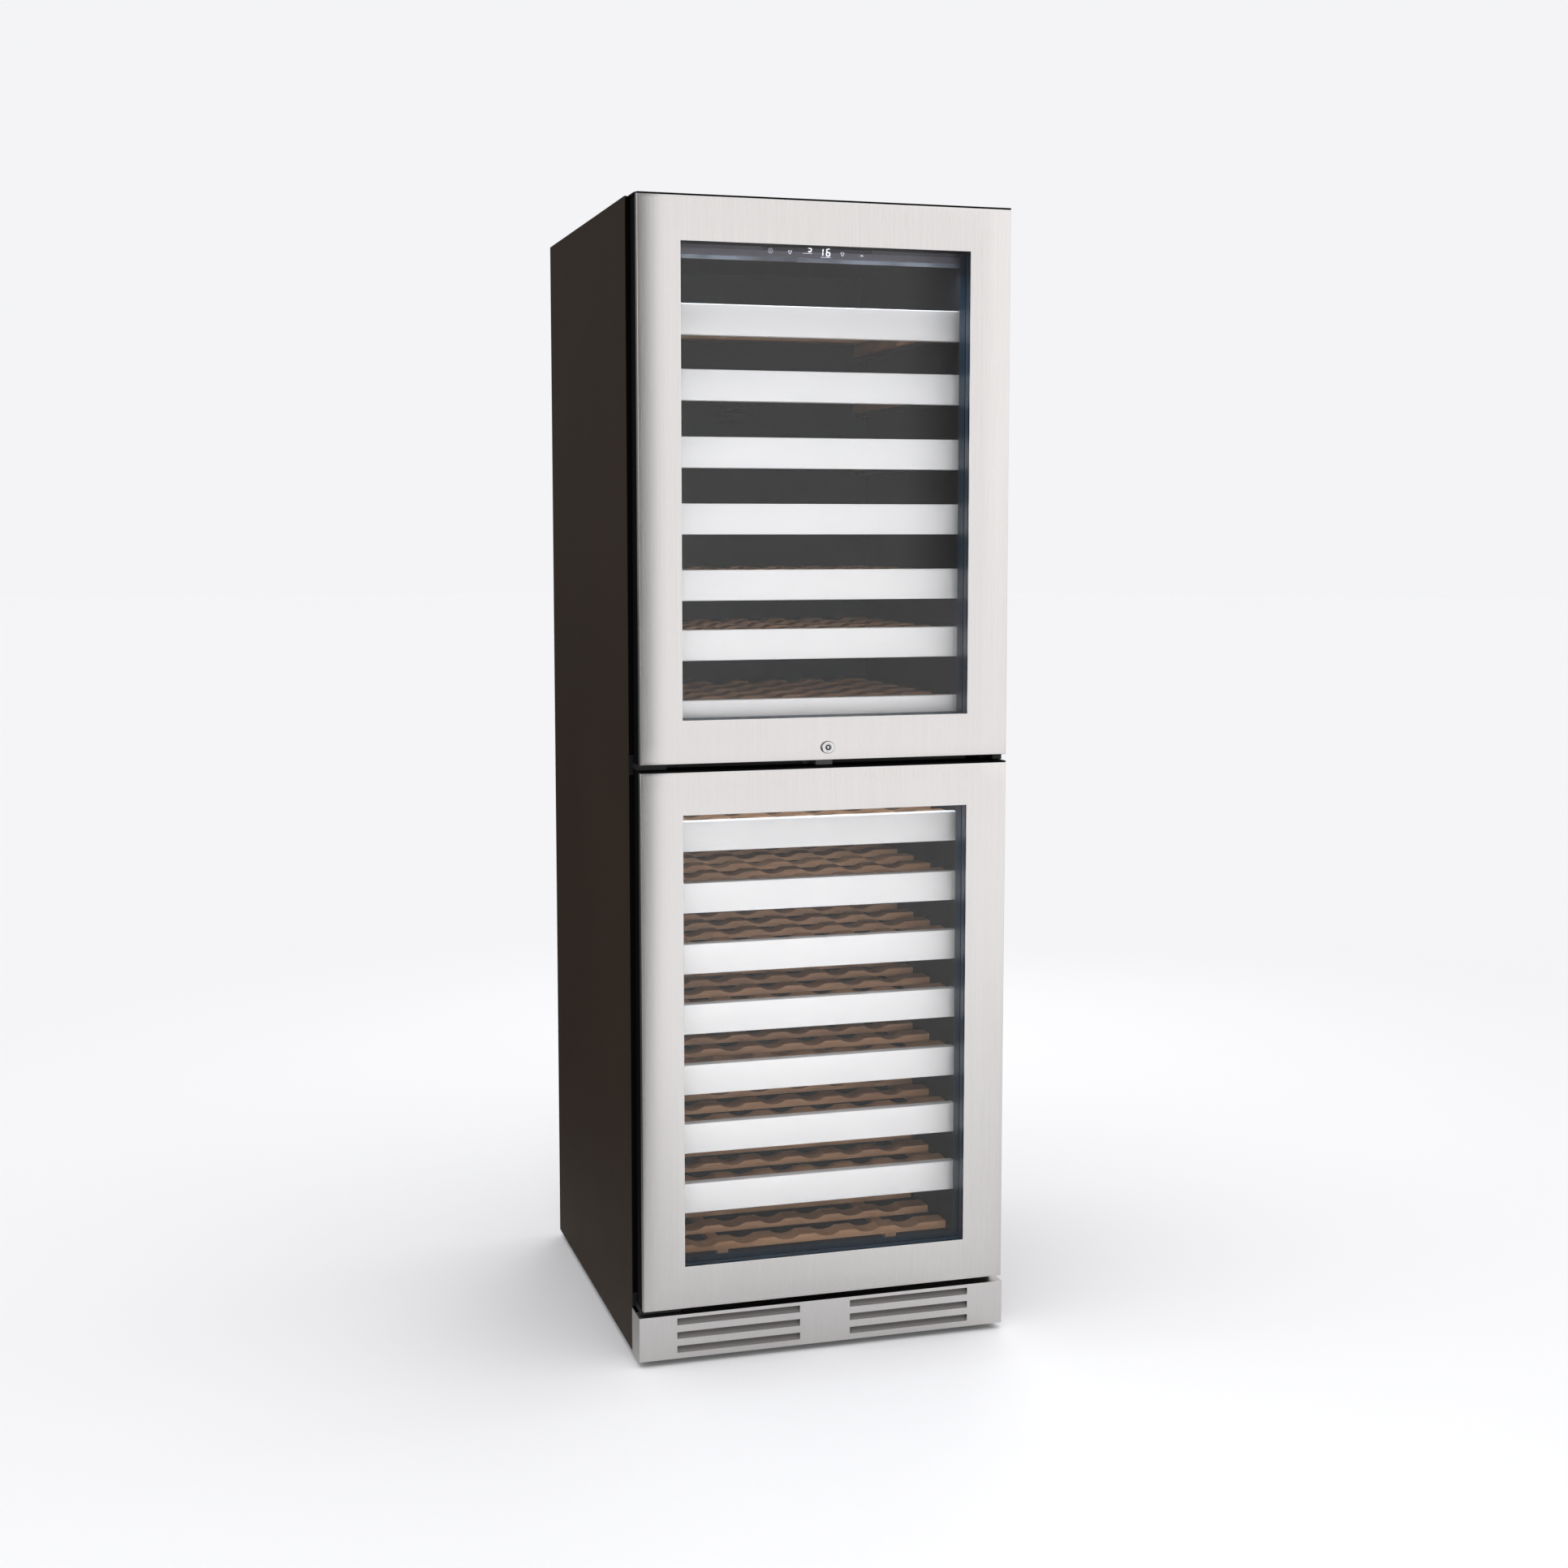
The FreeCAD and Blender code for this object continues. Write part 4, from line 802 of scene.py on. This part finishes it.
def lock():
    """Oval chrome bezel on a black collar, and a tubular-key plug that turns inside it."""
    low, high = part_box("lock_body")
    centre = (low + high) / 2
    front = low.y
    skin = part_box("upper_door_skin")[0].y
    tall = (high.z - low.z) / 2
    stretch = (high.x - low.x) / (high.z - low.z)
    bezel = [(5.32 * MM, high.y), (5.32 * MM, front + 0.7 * MM), (5.6 * MM, front + 0.35 * MM),
             (6.2 * MM, front + 0.12 * MM), (7.4 * MM, front), (tall - 1.5 * MM, front + 0.1 * MM),
             (tall - 1.0 * MM, front + 0.45 * MM), (tall - 0.75 * MM, front + 1.0 * MM),
             (tall - 0.6 * MM, skin - 1.0 * MM), (tall - 0.6 * MM, skin + 0.2 * MM),
             (8.2 * MM, skin + 0.4 * MM), (8.0 * MM, high.y)]

    def build(bm):
        steps = 72
        loops = []
        for radius, y in bezel:
            on_face = radius > 6 * MM and y < skin + 0.5 * MM
            in_door = radius < 8.1 * MM and y > skin
            oval = stretch if on_face and not in_door else 1.0
            loops.append([(centre.x + radius * oval * math.cos(2 * math.pi * i / steps), y,
                           centre.z + radius * math.sin(2 * math.pi * i / steps))
                          for i in range(steps)])
        skin_loops(bm, loops, closed=True)

    body = mesh_from("lock_bezel", build)
    piece = new_piece("lock_bezel", body, CHROME, "upper_door", sharp=28)
    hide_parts("lock_body")
    collar = lathe("lock_collar", centre,
                   [(tall - 1.2 * MM, skin - 1.3 * MM), (tall - 0.15 * MM, skin - 1.2 * MM),
                    (tall, skin - 0.9 * MM), (tall, skin + 0.3 * MM),
                    (tall - 1.2 * MM, skin + 0.3 * MM)], stretch)
    new_piece("lock_collar", collar, RUBBER, "upper_door", sharp=30)
    face = front + 0.75 * MM
    plug_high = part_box("lock_cylinder")[1]
    tongue = plug_high.y - 3 * MM
    profile = [(0.3 * MM, tongue), (5.2 * MM, tongue), (5.2 * MM, face + 0.3 * MM),
               (4.95 * MM, face), (4.3 * MM, face + 0.1 * MM), (4.1 * MM, face + 0.4 * MM),
               (4.05 * MM, face + 5 * MM), (2.2 * MM, face + 5 * MM),
               (2.15 * MM, face + 0.3 * MM), (1.7 * MM, face - 0.1 * MM),
               (0.9 * MM, face - 0.3 * MM), (0.3 * MM, face - 0.33 * MM)]

    def plug(bm):
        steps = 64
        rings = skin_loops(bm, [[(centre.x + radius * math.cos(2 * math.pi * i / steps), y,
                                  centre.z + radius * math.sin(2 * math.pi * i / steps))
                                 for i in range(steps)] for radius, y in profile])
        for ring in (rings[0], rings[-1]):
            bm.faces.new(ring)
        half, nose = 4 * MM, 1.5 * MM
        left, right = centre.x - half, plug_high.x
        outline = [(left, -half), (right - nose, -half), (right, -half + nose),
                   (right, half - nose), (right - nose, half), (left, half)]
        rings = skin_loops(bm, [[(x, y, centre.z + z) for x, z in outline]
                                for y in (tongue + 0.02 * MM, plug_high.y)])
        for ring in rings:
            bm.faces.new(ring)

    piece = new_piece("lock_plug", mesh_from("lock_plug", plug), CHROME, "lock_turning",
                      sharp=30)
    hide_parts("lock_cylinder")


# ---------------------------------------------------------------- cabinet trims
def bar(name, low, high, chamfer, material, body):
    """A bar along X with chamfered front edges."""
    outline = [(high.y, low.z), (low.y + chamfer, low.z), (low.y, low.z + chamfer),
               (low.y, high.z - chamfer), (low.y + chamfer, high.z), (high.y, high.z)]

    def build(bm):
        rings = skin_loops(bm, [[(x, y, z) for y, z in outline] for x in (low.x, high.x)])
        for ring in rings:
            bm.faces.new(ring)

    new_piece(name, mesh_from(name, build), material, body, sharp=25)


def mullion():
    """Grey cover strip between the doors' seals."""
    seal_gap, end_gap = 0.6 * MM, 45 * MM
    frame_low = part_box("front_frame")[0]
    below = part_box("lower_door_gasket")[1].z + seal_gap
    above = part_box("upper_door_gasket")[0].z - seal_gap
    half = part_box("upper_door_skin")[1].x - end_gap
    bar("mullion_strip", Vector((-half, frame_low.y - 1.4 * MM, below)),
        Vector((half, frame_low.y + 0.2 * MM, above)), 0.5 * MM, GAP_GREY, "cabinet")


def screw(name, centre, out, radius, body):
    """Pan-head cross-recess screw, its head rising along out."""
    def build(bm):
        steps = 24
        profile = [(radius, 0), (radius * 0.96, radius * 0.25), (radius * 0.7, radius * 0.48),
                   (radius * 0.34, radius * 0.56)]
        loops = [[(r * math.cos(2 * math.pi * i / steps), r * math.sin(2 * math.pi * i / steps), h)
                  for i in range(steps)] for r, h in profile]
        rings = skin_loops(bm, loops)
        cross = []
        for i in range(steps):
            angle = 2 * math.pi * i / steps
            wide = 0.26 if i % 6 in (0, 1, 5) else 0.11
            cross.append(bm.verts.new((radius * wide * math.cos(angle),
                                       radius * wide * math.sin(angle), radius * 0.56)))
        deep = [bm.verts.new((v.co.x * 0.6, v.co.y * 0.6, radius * 0.22)) for v in cross]
        for first, second in ((rings[-1], cross), (cross, deep)):
            for i in range(steps):
                j = (i + 1) % steps
                bm.faces.new((first[i], first[j], second[j], second[i]))
        bm.faces.new(deep)
        bm.faces.new(rings[0])
        turn = Vector(out).to_track_quat("Z", "Y").to_matrix().to_4x4()
        bmesh.ops.transform(bm, matrix=Matrix.Translation(centre) @ turn, verts=bm.verts)

    new_piece(name, mesh_from(name, build), SCREW, body, sharp=30)


def rear_screws():
    low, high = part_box("back_panel")
    side_margin, end_margin, radius = 9 * MM, 10 * MM, 3.6 * MM
    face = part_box("outer_wrap")[1].y - 0.6 * MM
    count = 0
    for x in (low.x + side_margin, 0, high.x - side_margin):
        rows = 7 if x else 2
        for row in range(rows):
            z = low.z + end_margin + (high.z - low.z - 2 * end_margin) * row / (rows - 1)
            count += 1
            screw("rear_screw_%d" % count, (x, face, z), (0, 1, 0), radius, "cabinet")


# ---------------------------------------------------------------- stage
def stage():
    mesh = bpy.data.meshes.new("floor")
    bm = bmesh.new()
    bmesh.ops.create_circle(bm, cap_ends=True, segments=96, radius=40)
    bm.to_mesh(mesh)
    bm.free()
    floor = bpy.data.objects.new("floor", mesh)
    floor.data.materials.append(pale_floor("floor_surface"))
    bpy.context.scene.collection.objects.link(floor)


# brightness of the surround at each azimuth in degrees: 0 faces the doors, + is to their right
SURROUND = ((-180, 0.3), (-172, 0.16), (-145, 0.16), (-120, 0.35), (-95, 0.8), (-50, 0.95),
            (-33, 0.92), (-25, 0.12), (-8, 0.12), (5, 0.95), (20.7, 1.0), (20.87, 0.3),
            (21.42, 0.3), (21.6, 1.0), (80, 1.0), (110, 0.8), (135, 0.6), (165, 0.5),
            (180, 0.3))


def world():
    """Soft surround of pale panels: two dark gaps in front, one very narrow, and dim behind."""
    scene = bpy.context.scene
    scene.world = bpy.data.worlds.new("studio")
    scene.world.use_nodes = True
    tree = scene.world.node_tree
    nodes, links = tree.nodes, tree.links
    nodes.clear()

    def math_node(operation, first, second=None, value=None):
        node = nodes.new("ShaderNodeMath")
        node.operation = operation
        links.new(first, node.inputs[0])
        if second is not None:
            links.new(second, node.inputs[1])
        if value is not None:
            node.inputs[1].default_value = value
        return node.outputs[0]

    output = nodes.new("ShaderNodeOutputWorld")
    backdrop = nodes.new("ShaderNodeBackground")
    backdrop.inputs["Color"].default_value = (0.905, 0.905, 0.925, 1)
    lighting = nodes.new("ShaderNodeBackground")
    path = nodes.new("ShaderNodeLightPath")
    mix = nodes.new("ShaderNodeMixShader")
    place = nodes.new("ShaderNodeTexCoord")
    split = nodes.new("ShaderNodeSeparateXYZ")
    links.new(place.outputs["Generated"], split.inputs["Vector"])
    front = math_node("MULTIPLY", split.outputs["Y"], value=-1)
    azimuth = math_node("ARCTAN2", split.outputs["X"], front)
    turn = math_node("DIVIDE", math_node("ADD", azimuth, value=math.pi), value=2 * math.pi)
    around = nodes.new("ShaderNodeValToRGB")
    elements = around.color_ramp.elements
    while len(elements) < len(SURROUND):
        elements.new(0.5)
    for element, (degrees, level) in zip(elements, SURROUND):
        element.position = (degrees + 180) / 360
        element.color = (level, level, level, 1)
    links.new(turn, around.inputs["Fac"])
    height = nodes.new("ShaderNodeMapRange")
    height.interpolation_type = "SMOOTHSTEP"
    height.inputs["From Min"].default_value = 0.45
    height.inputs["From Max"].default_value = 0.85
    links.new(split.outputs["Z"], height.inputs["Value"])
    blend = nodes.new("ShaderNodeMix")
    blend.data_type = "RGBA"
    blend.inputs[7].default_value = (0.95, 0.95, 0.96, 1)
    links.new(height.outputs["Result"], blend.inputs["Factor"])
    links.new(around.outputs["Color"], blend.inputs[6])
    links.new(blend.outputs[2], lighting.inputs["Color"])
    links.new(path.outputs["Is Camera Ray"], mix.inputs["Fac"])
    links.new(lighting.outputs["Background"], mix.inputs[1])
    links.new(backdrop.outputs["Background"], mix.inputs[2])
    links.new(mix.outputs["Shader"], output.inputs["Surface"])


def lamp(name, kind, place, target, power):
    """A lamp aimed at target. Shiny surfaces don't mirror it."""
    data = bpy.data.lights.new(name, kind)
    data.energy = power
    light = bpy.data.objects.new(name, data)
    light.location = place
    light.rotation_euler = (Vector(target) - Vector(place)).to_track_quat("-Z", "Y").to_euler()
    light.visible_camera = False
    light.visible_glossy = False
    bpy.context.scene.collection.objects.link(light)
    return data


def lights():
    sun = lamp("overhead_sun", "SUN", (0.1, -0.5, 3.2), (0, 0, 0), 0.6)
    sun.angle = math.radians(70)
    for name, place, target, power in (
            ("front_fill", (-0.5, -3.6, 0.8), (0, 0, 0.55), 9),
            ("rear_fill", (1.6, 3.4, 1.6), (0, 0, 0.9), 9)):
        fill = lamp(name, "AREA", place, target, power)
        fill.shape = "RECTANGLE"
        fill.size, fill.size_y = 2.2, 1.4
        fill.spread = math.radians(80)
    low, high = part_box("led_strips")
    for top, power in ((high.z, 0.9), (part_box("lower_shelf_1")[1].z + 48 * MM, 0.3)):
        glow = lamp("led_glow_%d" % round(top * 1000), "AREA", (0, low.y + 6 * MM, top - 8 * MM),
                    (0, low.y + 30 * MM, top - 120 * MM), power)
        glow.shape = "RECTANGLE"
        glow.size, glow.size_y = high.x - low.x, 8 * MM
        glow.color = (0.85, 0.93, 1.0)


def camera():
    """The view from the front and a little left; the angles are in degrees."""
    down, right = 5.502, 16.517
    data = bpy.data.cameras.new("camera")
    data.lens = 49.27
    data.shift_y = -0.03
    viewer = bpy.data.objects.new("camera", data)
    viewer.location = (-0.9891, -3.4379, 1.2786)
    viewer.rotation_euler = (math.radians(90 - down), 0, math.radians(-right))
    bpy.context.scene.collection.objects.link(viewer)
    bpy.context.scene.camera = viewer


# ---------------------------------------------------------------- build
dress_nodes()
for zone in ZONES:
    door_skin(zone)
    door_gasket(zone)
    for number in range(1, SHELF_COUNT + 1):
        fascia(zone, number)
control_print()
lock()
mullion()
rear_screws()
dress_reveals()
dress_louvres()
stage()
world()
lights()
camera()
bpy.context.scene.view_settings.view_transform = "Standard"
